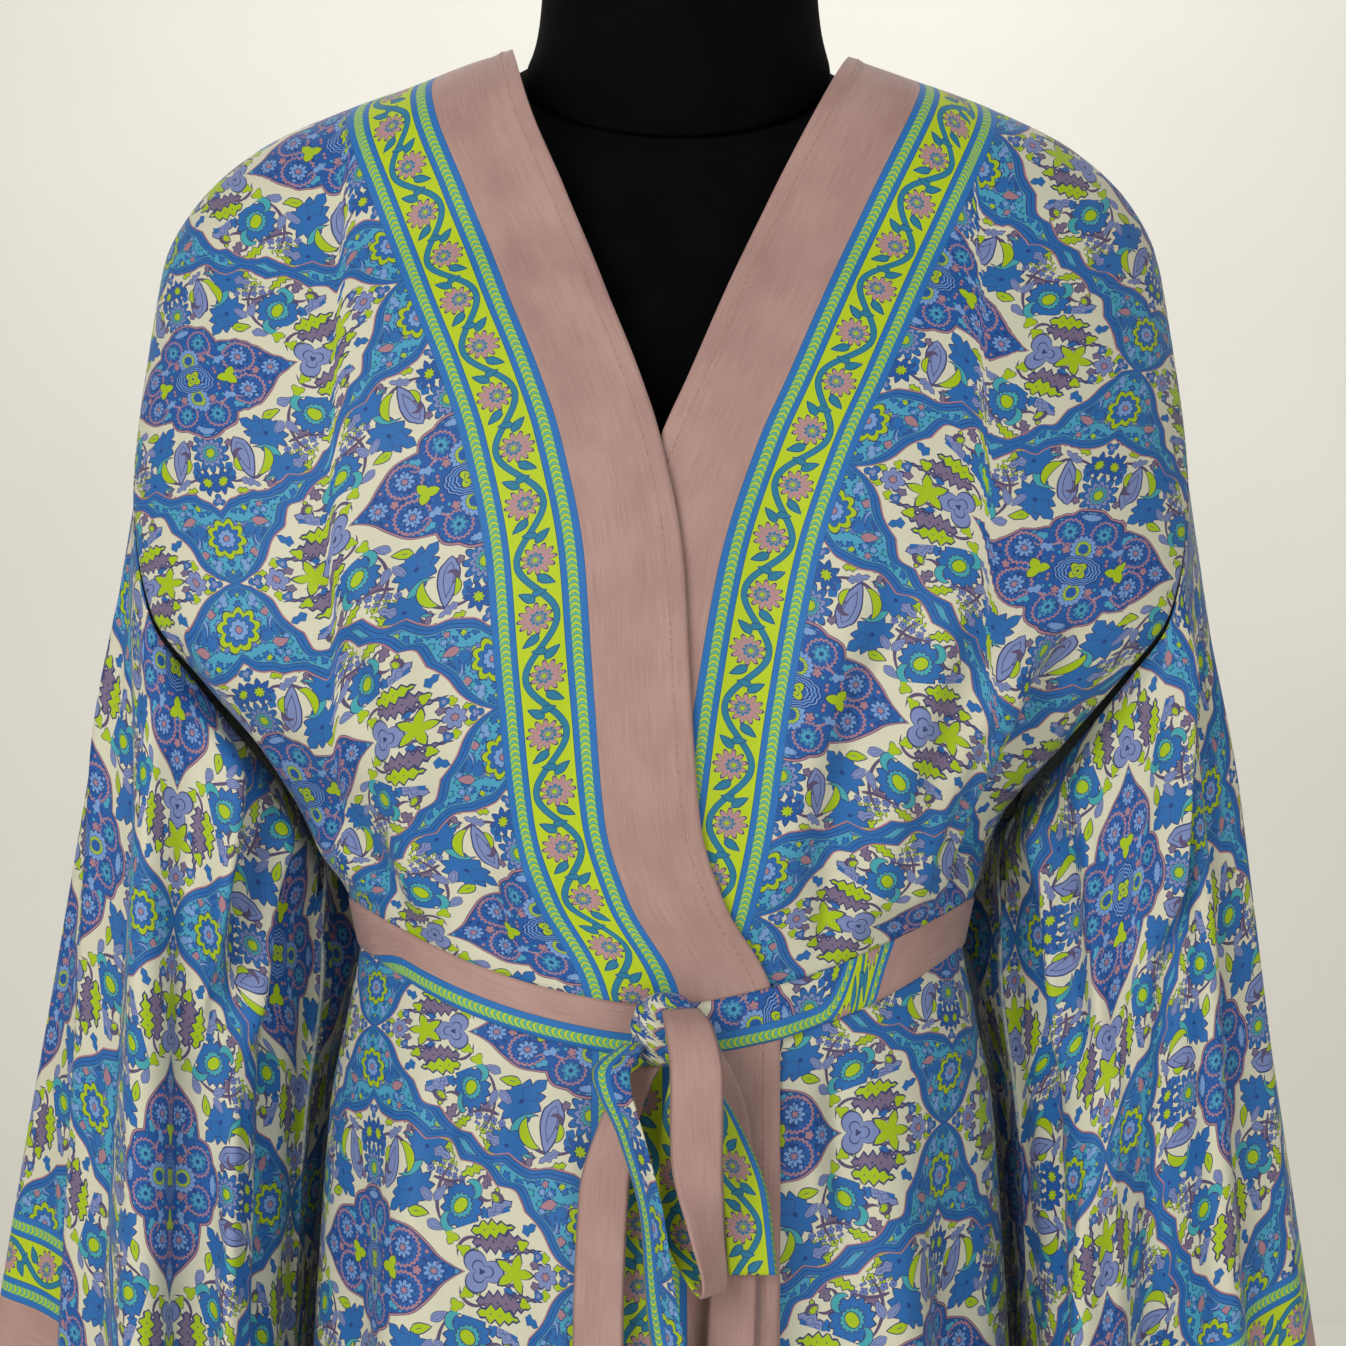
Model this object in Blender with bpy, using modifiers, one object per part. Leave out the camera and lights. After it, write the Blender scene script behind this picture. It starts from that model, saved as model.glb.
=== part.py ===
"""Kimono robe of thin printed cloth, tied at the waist, on a limbless dress form.

Metres, +Z up. The front of the robe faces -Y and the stand rests on z = 0.
Tables are in millimetres, one row for each section, edge point or fold.
"""

import math
from collections import namedtuple

import bmesh
import bpy
import numpy as np
from mathutils import Vector

MM = 0.001

# Driving sizes of the robe
HEM_HEIGHT = 0.150
UNDERARM_HEIGHT = 1.090
ARMHOLE_TOP = 1.337
NECK_HEIGHT = 1.422
WALL = 0.0018
SEAM_GAP = 0.0003
LAYER_GAP = 0.0012
LAYER_LIFT_FROM = -0.115
LAYER_LIFT_TO = -0.075
ROUNDNESS = 2.3
FLAT_FRONT_REACH = 0.11
WAIST_HEIGHT = 1.030
WAIST_HALF_WIDTH = 0.128
WAIST_TILT_SPAN = (0.86, 1.0, 1.06, 1.20)
SEAM_FADE_REACH = 0.040
BELT_HOLD_SPAN = (0.012, 0.050)
FOLD_RUN_IN = 0.25
HEM_FOLD_RUN_IN = 0.12

# Driving sizes of the belt
BELT_WIDTH = 0.021
BELT_WALL = 0.0015
BELT_CLEARANCE = 0.0006
BELT_FRONT_HEIGHT = 1.016
BELT_SIDE_RISE = 0.036
BELT_RISE_POWER = 1.6
BELT_OVERLAP = 0.012
KNOT_CENTRE = (0.002, -0.1150, 1.0185)
KNOT_RADII = (0.0135, 0.0085, 0.0135)
KNOT_WRAP = 0.10

# Driving sizes of the dress form and its stand
FORM_CLEARANCE = 0.0007
NECK_RADIUS = 0.0595
NECK_SEAM_HEIGHT = 1.412
NECK_SEAM_DROP = 0.028
NECK_TOP = 1.474
NECK_TILT_FROM = 1.33
CAP_HEIGHT = 0.010
POLE_RADIUS = 0.015
BASE_RADIUS = 0.156
BASE_HEIGHT = 0.014
FORM_BOTTOM = 0.800
SHOULDER_EASE_FRONT = 5
SHOULDER_EASE_BACK = 8

# How finely the walls are divided
BACK_COLUMNS = 24
FRONT_COLUMNS = 16
SLEEVE_ROWS = 13
SLEEVE_STEPS_PER_ROW = 2
FORM_STEPS = 28
SEAM_CROWDING = 0.8

# Level sections of the hanging robe: where its sides, front and back come, and the sewn seam
Section = namedtuple("Section", "height centre half_width front back seam")
BODY_SECTIONS = [
    Section(150, 0, 186, 138, 143, 186),
    Section(450, 0, 172, 129, 134, 172),
    Section(700, 0, 158, 121, 126, 158),
    Section(860, 0, 150, 116, 118, 150),
    Section(960, 0, 142, 108, 108, 142),
    Section(1000, 0, 134, 101, 98, 134),
    Section(1030, 0, 129, 98, 92, 129),
    Section(1058, 0, 137, 105, 98, 137),
    Section(1090, 0, 149, 112, 104, 149),
    Section(1120, 0, 175, 117, 108, 168),
    Section(1150, 0, 207, 120, 110, 188),
    Section(1182, 0, 240, 121, 111, 208),
    Section(1216, 0, 237, 119, 110, 217),
    Section(1250, 0, 230, 114, 107, 220),
    Section(1307, 0, 219, 97, 97, 217),
    Section(1337, 0, 213, 82, 88, 213),
    Section(1359, 1, 201, 76, 82, 201),
    Section(1381, 2, 177, 69, 76, 177),
    Section(1399, 4, 139, 62, 71, 139),
    Section(1411, 6, 104, 54, 68, 104),
    Section(1422, 8, 72, 42, 66, 72),
]

# Free front edges, from the neck to the hem: across, at each height
Edge = namedtuple("Edge", "height top_layer under_layer")
FRONT_EDGES = [
    Edge(1422, -63, 81),
    Edge(1388, -55, 66),
    Edge(1353, -42, 49),
    Edge(1308, -24, 27),
    Edge(1275, -8, 11),
    Edge(1250, 0, 0),
    Edge(1202, 9, -11),
    Edge(1148, 13, -16),
    Edge(1100, 18, -21),
    Edge(1069, 25, -30),
    Edge(1034, 43, -42),
    Edge(1015, 47, -46),
    Edge(900, 46, -48),
    Edge(150, 44, -50),
]

# Level rows of the body, closer where its outline turns
Span = namedtuple("Span", "low high rows")
ROW_SPANS = [
    Span(150, 950, 9),
    Span(950, 1000, 2),
    Span(1000, 1070, 5),
    Span(1070, 1090, 1),
    Span(1090, 1337, 8),
    Span(1337, 1359, 2),
    Span(1359, 1422, 5),
]

# Soft folds of the body: a line across the panel, how wide, and how far in (-) or out (+)
Fold = namedtuple("Fold", "name x_top z_top x_low z_low width depth")
FRONT_FOLDS = [
    Fold("left underarm drape", -196, 1190, -112, 1050, 15, 7),
    Fold("left underarm hollow", -176, 1160, -95, 1040, 14, -7),
    Fold("left side blouse", -120, 1150, -88, 1035, 13, 5),
    Fold("right underarm drape", 150, 1170, 98, 1045, 14, 8),
    Fold("right underarm hollow", 172, 1180, 118, 1052, 13, -8),
    Fold("right side blouse", 120, 1200, 78, 1040, 15, 6),
    Fold("right chest hollow", 100, 1190, 62, 1050, 14, -4),
    Fold("left hip fold", -96, 985, -122, 160, 22, 7),
    Fold("left hip hollow", -66, 985, -84, 160, 24, -6),
    Fold("right hip fold", 88, 985, 116, 160, 22, 8),
    Fold("right hip hollow", 118, 985, 146, 160, 18, -7),
    Fold("right front hollow", 62, 960, 80, 160, 22, -6),
]
BACK_FOLDS = [
    Fold("left waist fold", -92, 1180, -70, 1040, 18, 7),
    Fold("left waist hollow", -116, 1150, -98, 1045, 14, -6),
    Fold("middle waist hollow", -8, 1190, -6, 1040, 22, -5),
    Fold("middle waist fold", 26, 1170, 22, 1040, 16, 6),
    Fold("right waist fold", 96, 1180, 76, 1040, 18, 7),
    Fold("right waist hollow", 118, 1150, 102, 1045, 14, -6),
    Fold("left skirt fold", -96, 990, -124, 160, 24, 9),
    Fold("left skirt hollow", -62, 990, -80, 160, 24, -8),
    Fold("middle skirt fold", -24, 990, -28, 160, 24, 9),
    Fold("middle skirt hollow", 14, 990, 18, 160, 24, -8),
    Fold("right skirt fold", 54, 990, 70, 160, 24, 9),
    Fold("right skirt hollow", 94, 990, 120, 160, 24, -8),
]

# Folds of each sleeve at its cuff, in order from the outer edge forward and round:
# share of the way round, then across, depth and height of that fold's cuff edge
CuffFold = namedtuple("CuffFold", "name around x y z")
RIGHT_CUFF = [
    CuffFold("outer edge", 0.00, -290, 18, 848),
    CuffFold("tucked strip", 0.11, -233, -13, 828),
    CuffFold("flap edge", 0.19, -248, -50, 795),
    CuffFold("flap face", 0.27, -217, -80, 778),
    CuffFold("front dip", 0.34, -188, -64, 768),
    CuffFold("front ridge", 0.40, -168, -78, 762),
    CuffFold("inner turn", 0.48, -163, -34, 752),
    CuffFold("inner side", 0.59, -163, 26, 756),
    CuffFold("back ridge", 0.69, -181, 78, 776),
    CuffFold("back dip", 0.76, -207, 60, 798),
    CuffFold("back fold", 0.84, -243, 82, 822),
    CuffFold("back face", 0.92, -276, 56, 840),
]
LEFT_CUFF = [
    CuffFold("outer edge", 0.00, 290, 12, 846),
    CuffFold("outer face", 0.09, 268, -42, 830),
    CuffFold("broad ridge", 0.18, 234, -70, 812),
    CuffFold("deep valley", 0.27, 199, -42, 795),
    CuffFold("overlapping fold", 0.34, 185, -76, 784),
    CuffFold("inner ridge", 0.41, 166, -82, 770),
    CuffFold("inner turn", 0.49, 162, -36, 760),
    CuffFold("inner side", 0.59, 162, 26, 758),
    CuffFold("back ridge", 0.69, 180, 78, 776),
    CuffFold("back dip", 0.76, 208, 58, 798),
    CuffFold("back fold", 0.84, 240, 80, 822),
    CuffFold("back face", 0.92, 270, 52, 840),
]

# How far a sleeve's first ring stands off the armhole: at its underarm and shoulder,
# the share of the way round that this eases over, then outward and down in millimetres
Ease = namedtuple("Ease", "spread outward down")
UNDERARM_EASE = Ease(0.17, 5.6, 2.0)
SHOULDER_EASE = Ease(0.05, 0.6, 0.8)

# Where each sleeve's inner side falls in towards the tied waist
Tuck = namedtuple("Tuck", "height reach around spread depth")
WAIST_TUCK = Tuck(1025, 42, 0.585, 0.075, 17)

# Stations of each hanging belt stretch, from the knot: place, turn of its face and its width
Station = namedtuple("Station", "x y z turn width")
FRONT_LOOP = [
    Station(8, -120.8, 1027, 14, 15),
    Station(11, -131, 1022, -6, 19),
    Station(14, -142, 1004, -14, 21),
    Station(13, -146, 976, -8, 20),
    Station(16, -147, 945, 12, 19),
    Station(19, -146, 926, 8, 19),
    Station(18, -141, 921, 5, 19),
    Station(15, -136, 928, 5, 18),
    Station(9, -129, 950, 0, 18),
    Station(8, -121, 982, 0, 15),
    Station(9, -117.5, 1004.4, 0, 8),
]
SIDE_LOOP = [
    Station(-10.4, -119.6, 1013, -36, 11),
    Station(-19, -129, 1003, -38, 19),
    Station(-11, -139, 980, -55, 20),
    Station(-3, -141, 950, -60, 20),
    Station(1, -141, 915, -50, 20),
    Station(8, -139, 884, -35, 20),
    Station(18, -133, 873, 0, 20),
    Station(26, -126, 884, 6, 20),
    Station(28, -122, 910, 0, 19),
    Station(29, -117, 950, 0, 18),
    Station(27, -112, 985, 0, 15),
    Station(23, -110.3, 1002, 0, 11),
    Station(18.6, -111.8, 1013.5, 50, 7),
]
SHORT_TAIL = [
    Station(8, -119.3, 1008.3, 40, 6),
    Station(16.5, -123.5, 998, 10, 10),
    Station(25, -124, 980, 8, 15),
    Station(33, -125, 955, 3, 18),
    Station(36, -126, 925, 0, 19),
]
LONG_TAIL = [
    Station(-3.6, -114.2, 1004.2, -10, 8),
    Station(-9, -115, 998, -14, 12),
    Station(-16, -119, 983, -16, 16),
    Station(-22, -122, 955, -12, 20),
    Station(-24, -127, 900, -8, 20),
    Station(-23, -130, 840, 5, 20),
    Station(-21, -132, 770, 0, 20),
]

# Level sections of the dress form below its shoulders
FormSection = namedtuple("FormSection", "height half_width front back")
FORM_SECTIONS = [
    FormSection(800, 118, 84, 84),
    FormSection(812, 128, 93, 92),
    FormSection(870, 133, 99, 100),
    FormSection(950, 126, 92, 92),
    FormSection(1020, 112, 82, 78),
    FormSection(1040, 112, 83, 78),
    FormSection(1100, 122, 98, 86),
    FormSection(1190, 140, 110, 94),
    FormSection(1260, 152, 100, 94),
    FormSection(1310, 172, 84, 86),
    FormSection(1340, 184, 76, 80),
    FormSection(1362, 186, 70, 74),
]
SHOULDER_SEAT = (1.378, 1.405)
FORM_ROWS = (
    [FORM_BOTTOM, FORM_BOTTOM + 0.004, FORM_BOTTOM + 0.012]
    + [0.85 + 0.49 * row / 12 for row in range(13)]
    + [1.352, 1.362, 1.372]
)

# The neck's rings: share of the way up from its seam and size against the seam
NeckRing = namedtuple("NeckRing", "share size")
NECK_RINGS = [
    NeckRing(0.0, 1.0),
    NeckRing(0.3, 0.975),
    NeckRing(0.7, 0.965),
    NeckRing(0.96, 0.96),
    NeckRing(1.0, 0.94),
]

# Turned outlines, from the outer bottom edge to the top middle: radius and height
CAP_PROFILE = [(0.052, 0.0), (0.054, 0.002), (0.052, 0.006), (0.030, 0.009), (0.0, CAP_HEIGHT)]
BASE_PROFILE = [
    (BASE_RADIUS - 0.002, 0.0),
    (BASE_RADIUS, 0.002),
    (BASE_RADIUS, 0.008),
    (BASE_RADIUS - 0.006, 0.011),
    (0.040, BASE_HEIGHT),
    (0.0, BASE_HEIGHT),
]

# Colour, roughness and metallic value of each finish
COLOURS = {
    "printed_cloth": (0.10, 0.22, 0.50, 0.62, 0.0),
    "belt_cloth": (0.50, 0.29, 0.26, 0.60, 0.0),
    "form_cover": (0.008, 0.008, 0.009, 0.85, 0.0),
    "cap_enamel": (0.02, 0.02, 0.02, 0.45, 0.0),
    "stand_metal": (0.03, 0.03, 0.035, 0.35, 1.0),
}


# Smooth lookups in the tables
def smooth_lookup(keys, values, where):
    """Read a table between its rows along a curve that doesn't overshoot."""
    keys = np.asarray(keys, float)
    values = np.asarray(values, float)
    steps = np.diff(values) / np.diff(keys)
    slopes = np.zeros(len(keys))
    slopes[1:-1] = np.where(
        steps[:-1] * steps[1:] > 0,
        2 * steps[:-1] * steps[1:] / (steps[:-1] + steps[1:] + 1e-30),
        0,
    )
    slopes[0] = steps[0]
    slopes[-1] = steps[-1]
    where = np.clip(np.asarray(where, float), keys[0], keys[-1])
    row = np.clip(np.searchsorted(keys, where, side="right") - 1, 0, len(keys) - 2)
    span = keys[row + 1] - keys[row]
    t = (where - keys[row]) / span
    return (
        values[row] * (1 + 2 * t) * (1 - t) ** 2
        + slopes[row] * span * t * (1 - t) ** 2
        + values[row + 1] * t * t * (3 - 2 * t)
        + slopes[row + 1] * span * t * t * (t - 1)
    )


def table_value(table, column, height):
    """One column of a table of sections, in metres, at heights in metres."""
    rows = sorted(table, key=lambda row: row.height)
    keys = [row.height * MM for row in rows]
    values = [getattr(row, column) * MM for row in rows]
    return smooth_lookup(keys, values, height)


def smooth_step(low, high, value):
    """0 below low, 1 above high and a soft ramp between."""
    t = np.clip((np.asarray(value, float) - low) / (high - low), 0, 1)
    return t * t * (3 - 2 * t)


def even_along(points, count, first_trim=0.0, last_trim=0.0, crowd=(0.0, 0.0)):
    """Points spread along a dense line, short of its ends by the trims.

    They are even, or crowded towards the first or the last end by a share of 0 to 1.
    """
    steps = np.linalg.norm(np.diff(points, axis=0), axis=1)
    run = np.concatenate([[0], np.cumsum(steps)])
    share = np.linspace(0, 1, count)
    share = share - crowd[0] * share * (1 - share) ** 2 + crowd[1] * share**2 * (1 - share)
    places = first_trim + share * (run[-1] - last_trim - first_trim)
    return np.stack([np.interp(places, run, points[:, axis]) for axis in range(3)], axis=1)


# The form of the hanging cloth
def belt_height(x):
    """The belt sags at the front and rides up at the sides."""
    share = np.clip(np.abs(x) / WAIST_HALF_WIDTH, 0, 1)
    return BELT_FRONT_HEIGHT + BELT_SIDE_RISE * share**BELT_RISE_POWER


def waist_shift(x, z):
    """Height in the section table for a point whose waist line isn't level."""
    rise = belt_height(x) - WAIST_HEIGHT
    low_start, low_end, high_start, high_end = WAIST_TILT_SPAN
    reach = smooth_step(low_start, low_end, z) * (1 - smooth_step(high_start, high_end, z))
    return z - rise * reach


def level_section(z, face, side, samples=160):
    """Half of a level section, from the middle to the sewn seam, as dense points."""
    shifted = waist_shift(FLAT_FRONT_REACH, z)
    centre = table_value(BODY_SECTIONS, "centre", z)
    half_width = table_value(BODY_SECTIONS, "half_width", shifted)
    seam = min(table_value(BODY_SECTIONS, "seam", shifted), half_width)
    turn = np.linspace(0, 1, samples)
    last = math.asin(min(seam / half_width, 1.0))
    x = half_width * np.sin(turn * last)
    shallow = table_value(BODY_SECTIONS, face, waist_shift(0.0, z))
    deep = table_value(BODY_SECTIONS, face, shifted)
    blend = smooth_step(0.0, FLAT_FRONT_REACH, x)
    depth = shallow * (1 - blend) + deep * blend
    y = depth * (1 - (x / half_width) ** ROUNDNESS) ** (1 / ROUNDNESS)
    sign = -1.0 if face == "front" else 1.0
    return np.stack([centre + side * x, sign * y, np.full(samples, z)], axis=1)


def row_heights():
    """Level rows from hem to neck, in each span evenly spaced along the side's outline."""
    rows = [HEM_HEIGHT]
    for span in ROW_SPANS:
        z = np.linspace(span.low, span.high, 200) * MM
        x = table_value(BODY_SECTIONS, "seam", z)
        outline = np.stack([x, np.zeros_like(z), z], axis=1)
        rows.extend(even_along(outline, span.rows + 1)[1:, 2])
    return rows


def outward_normals(grid):
    """Unit normals of a body panel's points, away from the upright middle line."""
    normal = np.cross(np.gradient(grid, axis=1), np.gradient(grid, axis=0))
    normal /= np.maximum(np.linalg.norm(normal, axis=2, keepdims=True), 1e-9)
    away = np.sum(normal[:, :, :2] * grid[:, :, :2])
    return normal * np.sign(away)


def fold_depth(grid, folds, rim):
    """How far each point of a panel moves out for the folds, less near its sewn sides."""
    x = grid[:, :, 0] / MM
    z = grid[:, :, 2] / MM
    near_hem = HEM_HEIGHT / MM + 50
    total = np.zeros(x.shape)
    for fold in folds:
        line = np.array([fold.x_low - fold.x_top, fold.z_low - fold.z_top], float)
        length = np.linalg.norm(line)
        line = line / length
        along = (x - fold.x_top) * line[0] + (z - fold.z_top) * line[1]
        across = (x - fold.x_top) * line[1] - (z - fold.z_top) * line[0]
        reaches_hem = fold.z_low < near_hem
        fade = length * (HEM_FOLD_RUN_IN if reaches_hem else FOLD_RUN_IN)
        run_in = smooth_step(-0.3 * fade, fade, along)
        run_out = 1.0
        if not reaches_hem:
            run_out = 1 - smooth_step(length - fade, length + 0.3 * fade, along)
        total += fold.depth * np.exp(-((across / fold.width) ** 2)) * run_in * run_out
    return total * MM * rim


def seam_fade(grid):
    """0 at the sewn side of a panel, its last column, and 1 a little way in."""
    steps = np.linalg.norm(np.diff(grid, axis=1), axis=2)
    run = np.cumsum(steps[:, ::-1], axis=1)[:, ::-1]
    run = np.concatenate([run, np.zeros((len(grid), 1))], axis=1)
    return smooth_step(0.0, SEAM_FADE_REACH, run)


def belt_hold(grid):
    """0 at the belt, where the cloth is drawn in flat, and 1 away from it."""
    away = np.abs(grid[:, :, 2] - belt_height(grid[:, :, 0]))
    return smooth_step(BELT_HOLD_SPAN[0], BELT_HOLD_SPAN[1], away)


def back_grid():
    """The back panel: level rows from the left seam round the back to the right seam."""
    rows = []
    for z in row_heights():
        left = level_section(z, "back", -1.0)
        right = level_section(z, "back", 1.0)
        line = np.concatenate([left[::-1], right[1:]])
        crowd = (SEAM_CROWDING, SEAM_CROWDING)
        rows.append(even_along(line, BACK_COLUMNS + 1, SEAM_GAP / 2, SEAM_GAP / 2, crowd))
    grid = np.array(rows)
    rim = seam_fade(grid) * seam_fade(grid[:, ::-1])[:, ::-1]
    move = fold_depth(grid, BACK_FOLDS, rim) * belt_hold(grid)
    return grid + outward_normals(grid) * move[:, :, None]


def front_grid(layer):
    """A front panel: level rows from its free edge to its sewn side.

    The top layer is moved out over the layer beneath it by one wall and a gap.
    """
    side = -1.0 if layer == "top_layer" else 1.0
    rows = []
    for z in row_heights():
        edge = float(table_value(FRONT_EDGES, layer, z))
        near = level_section(z, "front", side)
        far = level_section(z, "front", -side)
        line = np.concatenate([far[::-1], near[1:]])
        order = line[:, 0] * side
        start = np.searchsorted(order, edge * side)
        first = np.array([[edge, np.interp(edge * side, order, line[:, 1]), z]])
        line = np.concatenate([first, line[start:]])
        crowd = (0.0, SEAM_CROWDING)
        rows.append(even_along(line, FRONT_COLUMNS + 1, 0.0, SEAM_GAP / 2, crowd))
    grid = np.array(rows)
    rim = seam_fade(grid)
    move = fold_depth(grid, FRONT_FOLDS, rim) * belt_hold(grid)
    if layer == "top_layer":
        lift = smooth_step(LAYER_LIFT_FROM, LAYER_LIFT_TO, grid[:, :, 0])
        move += (WALL + LAYER_GAP) * lift
    return grid + outward_normals(grid) * move[:, :, None]


def section_end(section, gap):
    """The seam end of a level section, run on by a gap in its own direction."""
    way = section[-1] - section[-2]
    return section[-1] + way / np.linalg.norm(way) * gap


def armhole_loop(side):
    """The sewn armhole: down the front from the shoulder, under, and up the back.

    It runs straight between the ends of the body's level rows, as their walls do.
    """
    margin = 0.0005
    heights = [z for z in row_heights() if UNDERARM_HEIGHT - margin < z < ARMHOLE_TOP + margin]
    places = np.linspace(0, len(heights) - 1, (len(heights) - 1) * SLEEVE_STEPS_PER_ROW + 1)
    halves = []
    for face in ("front", "back"):
        sections = [level_section(z, face, side) for z in heights]
        ends = np.array([section_end(section, 2 * SEAM_GAP) for section in sections])
        fine = [np.interp(places, np.arange(len(heights)), ends[:, axis]) for axis in range(3)]
        halves.append(np.stack(fine, axis=1))
    front, back = halves
    return np.concatenate([front[:0:-1], back[:-1]])


def closed_curve(folds, count):
    """A smooth closed line through the folds of a cuff, evenly read by its shares."""
    share = np.array([fold.around for fold in folds])
    place = np.array([[fold.x, fold.y, fold.z] for fold in folds], float) * MM
    share = np.concatenate([share[-2:] - 1, share, share[:3] + 1])
    place = np.concatenate([place[-2:], place, place[:3]])
    slope = np.gradient(place, share, axis=0)
    where = np.arange(count) / count
    row = np.searchsorted(share, where, side="right") - 1
    span = (share[row + 1] - share[row])[:, None]
    t = ((where - share[row]) / span[:, 0])[:, None]
    return (
        place[row] * (1 + 2 * t) * (1 - t) ** 2
        + slope[row] * span * t * (1 - t) ** 2
        + place[row + 1] * t * t * (3 - 2 * t)
        + slope[row + 1] * span * t * t * (t - 1)
    )


def sleeve_grid(side, cuff):
    """A sleeve: rings from the armhole down to the cuff, each folded a little more."""
    top = armhole_loop(side)
    share = np.arange(len(top)) / len(top)
    top[:, 2] -= SEAM_GAP
    from_underarm = share - 0.5
    from_shoulder = np.minimum(share, 1 - share)
    for away, ease in ((from_underarm, UNDERARM_EASE), (from_shoulder, SHOULDER_EASE)):
        reach = np.exp(-((away / ease.spread) ** 2))
        top[:, 0] += side * ease.outward * MM * reach
        top[:, 2] -= ease.down * MM * reach
    bottom = closed_curve(cuff, len(top))
    rows = []
    for t in np.linspace(0, 1, SLEEVE_ROWS + 1):
        rows.append(top * (1 - t) + bottom * t)
    grid = np.array(rows)
    height = grid[:, :, 2]
    tuck = np.exp(-(((height - WAIST_TUCK.height * MM) / (WAIST_TUCK.reach * MM)) ** 2))
    tuck *= np.exp(-(((share - WAIST_TUCK.around) / WAIST_TUCK.spread) ** 2))[None, :]
    below_armhole = smooth_step(0, 1.5 / SLEEVE_ROWS, np.linspace(0, 1, SLEEVE_ROWS + 1))
    tuck *= below_armhole[:, None]
    grid[:, :, 0] -= side * WAIST_TUCK.depth * MM * tuck
    return grid


# Turning grids into walls of cloth
def panel_mesh(name, grid, closed, flip):
    """Faces over a grid of rows and columns, joined round where it is a tube."""
    mesh = bpy.data.meshes.new(name)
    bm = bmesh.new()
    verts = [[bm.verts.new(point) for point in row] for row in grid]
    columns = grid.shape[1]
    last = columns if closed else columns - 1
    for i in range(grid.shape[0] - 1):
        for j in range(last):
            k = (j + 1) % columns
            face = [verts[i][j], verts[i][k], verts[i + 1][k], verts[i + 1][j]]
            bm.faces.new(face[::-1] if flip else face)
    bm.to_mesh(mesh)
    bm.free()
    return mesh


def add_object(name, mesh, material, collection):
    """Link a mesh as a named sub-part with its own material."""
    obj = bpy.data.objects.new(name, mesh)
    mesh.materials.append(material)
    collection.objects.link(obj)
    mesh.shade_smooth()
    return obj


def add_wall(obj, thickness):
    """Give an open surface its thickness on the outer side."""
    wall = obj.modifiers.new("wall", "SOLIDIFY")
    wall.thickness = thickness
    wall.offset = 1.0
    wall.use_even_offset = False
    return obj


def make_material(name):
    """A plain Principled material from the table of colours."""
    red, green, blue, roughness, metallic = COLOURS[name]
    material = bpy.data.materials.new(name)
    material.use_nodes = True
    shader = material.node_tree.nodes["Principled BSDF"]
    shader.inputs["Base Color"].default_value = (red, green, blue, 1)
    shader.inputs["Roughness"].default_value = roughness
    shader.inputs["Metallic"].default_value = metallic
    material.diffuse_color = (red, green, blue, 1)
    return material


# The belt
def panel_points_at(grid, heights):
    """Points of a panel at a height for each column, read between its level rows."""
    points = []
    for column in range(grid.shape[1]):
        line = grid[:, column]
        order = np.argsort(line[:, 2])
        z = heights[column]
        x = np.interp(z, line[order, 2], line[order, 0])
        y = np.interp(z, line[order, 2], line[order, 1])
        points.append([x, y, z])
    return np.array(points)


def belt_grid():
    """The belt round the waist, made from the panels' own points, moved out."""
    front_right = front_grid("top_layer")
    front_left = front_grid("under_layer")
    back = back_grid()
    waist_row = int(np.argmin(np.abs(np.array(row_heights()) - BELT_FRONT_HEIGHT)))
    past_top_edge = front_left[waist_row, :, 0] > front_right[waist_row, 0, 0] + BELT_OVERLAP
    front_left = front_left[:, past_top_edge]
    rows = []
    for rise in (-0.5, 0.0, 0.5):
        row = []
        for grid in (front_right, back[:, 1:-1], front_left[:, ::-1]):
            height = belt_height(grid[waist_row, :, 0]) + rise * BELT_WIDTH
            row.append(panel_points_at(grid, height))
        rows.append(np.concatenate(row))
    ring = np.array(rows)
    around = np.roll(ring, -1, axis=1) - np.roll(ring, 1, axis=1)
    out = np.stack([-around[:, :, 1], around[:, :, 0]], axis=2)
    out /= np.linalg.norm(out, axis=2, keepdims=True)
    facing = np.sign(np.sum(out * ring[:, :, :2], axis=2, keepdims=True))
    ring[:, :, :2] += out * facing * (WALL + BELT_CLEARANCE)
    return ring


def ribbon_grid(stations, count):
    """A hanging stretch of belt: a smooth middle line with a turning width."""
    place = np.array([[s.x, s.y, s.z] for s in stations], float) * MM
    run = np.concatenate([[0], np.cumsum(np.linalg.norm(np.diff(place, axis=0), axis=1))])
    where = np.linspace(0, run[-1], count)
    middle = np.stack([smooth_lookup(run, place[:, a], where) for a in range(3)], axis=1)
    turn = np.radians(smooth_lookup(run, [s.turn for s in stations], where))
    width = smooth_lookup(run, [s.width * MM for s in stations], where)
    across = np.stack([np.cos(turn), np.sin(turn), np.zeros(count)], axis=1)
    half = across * width[:, None] / 2
    return np.stack([middle - half, middle, middle + half], axis=1)


def knot_object(material, collection):
    """The knot: a small cushion of wrapped cloth in front of the belt."""
    bpy.ops.mesh.primitive_uv_sphere_add(segments=16, ring_count=10, radius=1.0)
    obj = bpy.context.active_object
    obj.name = "belt_knot"
    for vert in obj.data.vertices:
        point = vert.co
        wrap = 1 + KNOT_WRAP * math.cos(3 * math.atan2(point.z, point.x) + 0.6)
        across = point.x * KNOT_RADII[0] * wrap
        up = point.z * KNOT_RADII[2] * wrap
        vert.co = Vector((across, point.y * KNOT_RADII[1], up))
    obj.location = KNOT_CENTRE
    obj.data.materials.append(material)
    for other in obj.users_collection:
        other.objects.unlink(obj)
    collection.objects.link(obj)
    obj.data.shade_smooth()
    return obj


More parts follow.
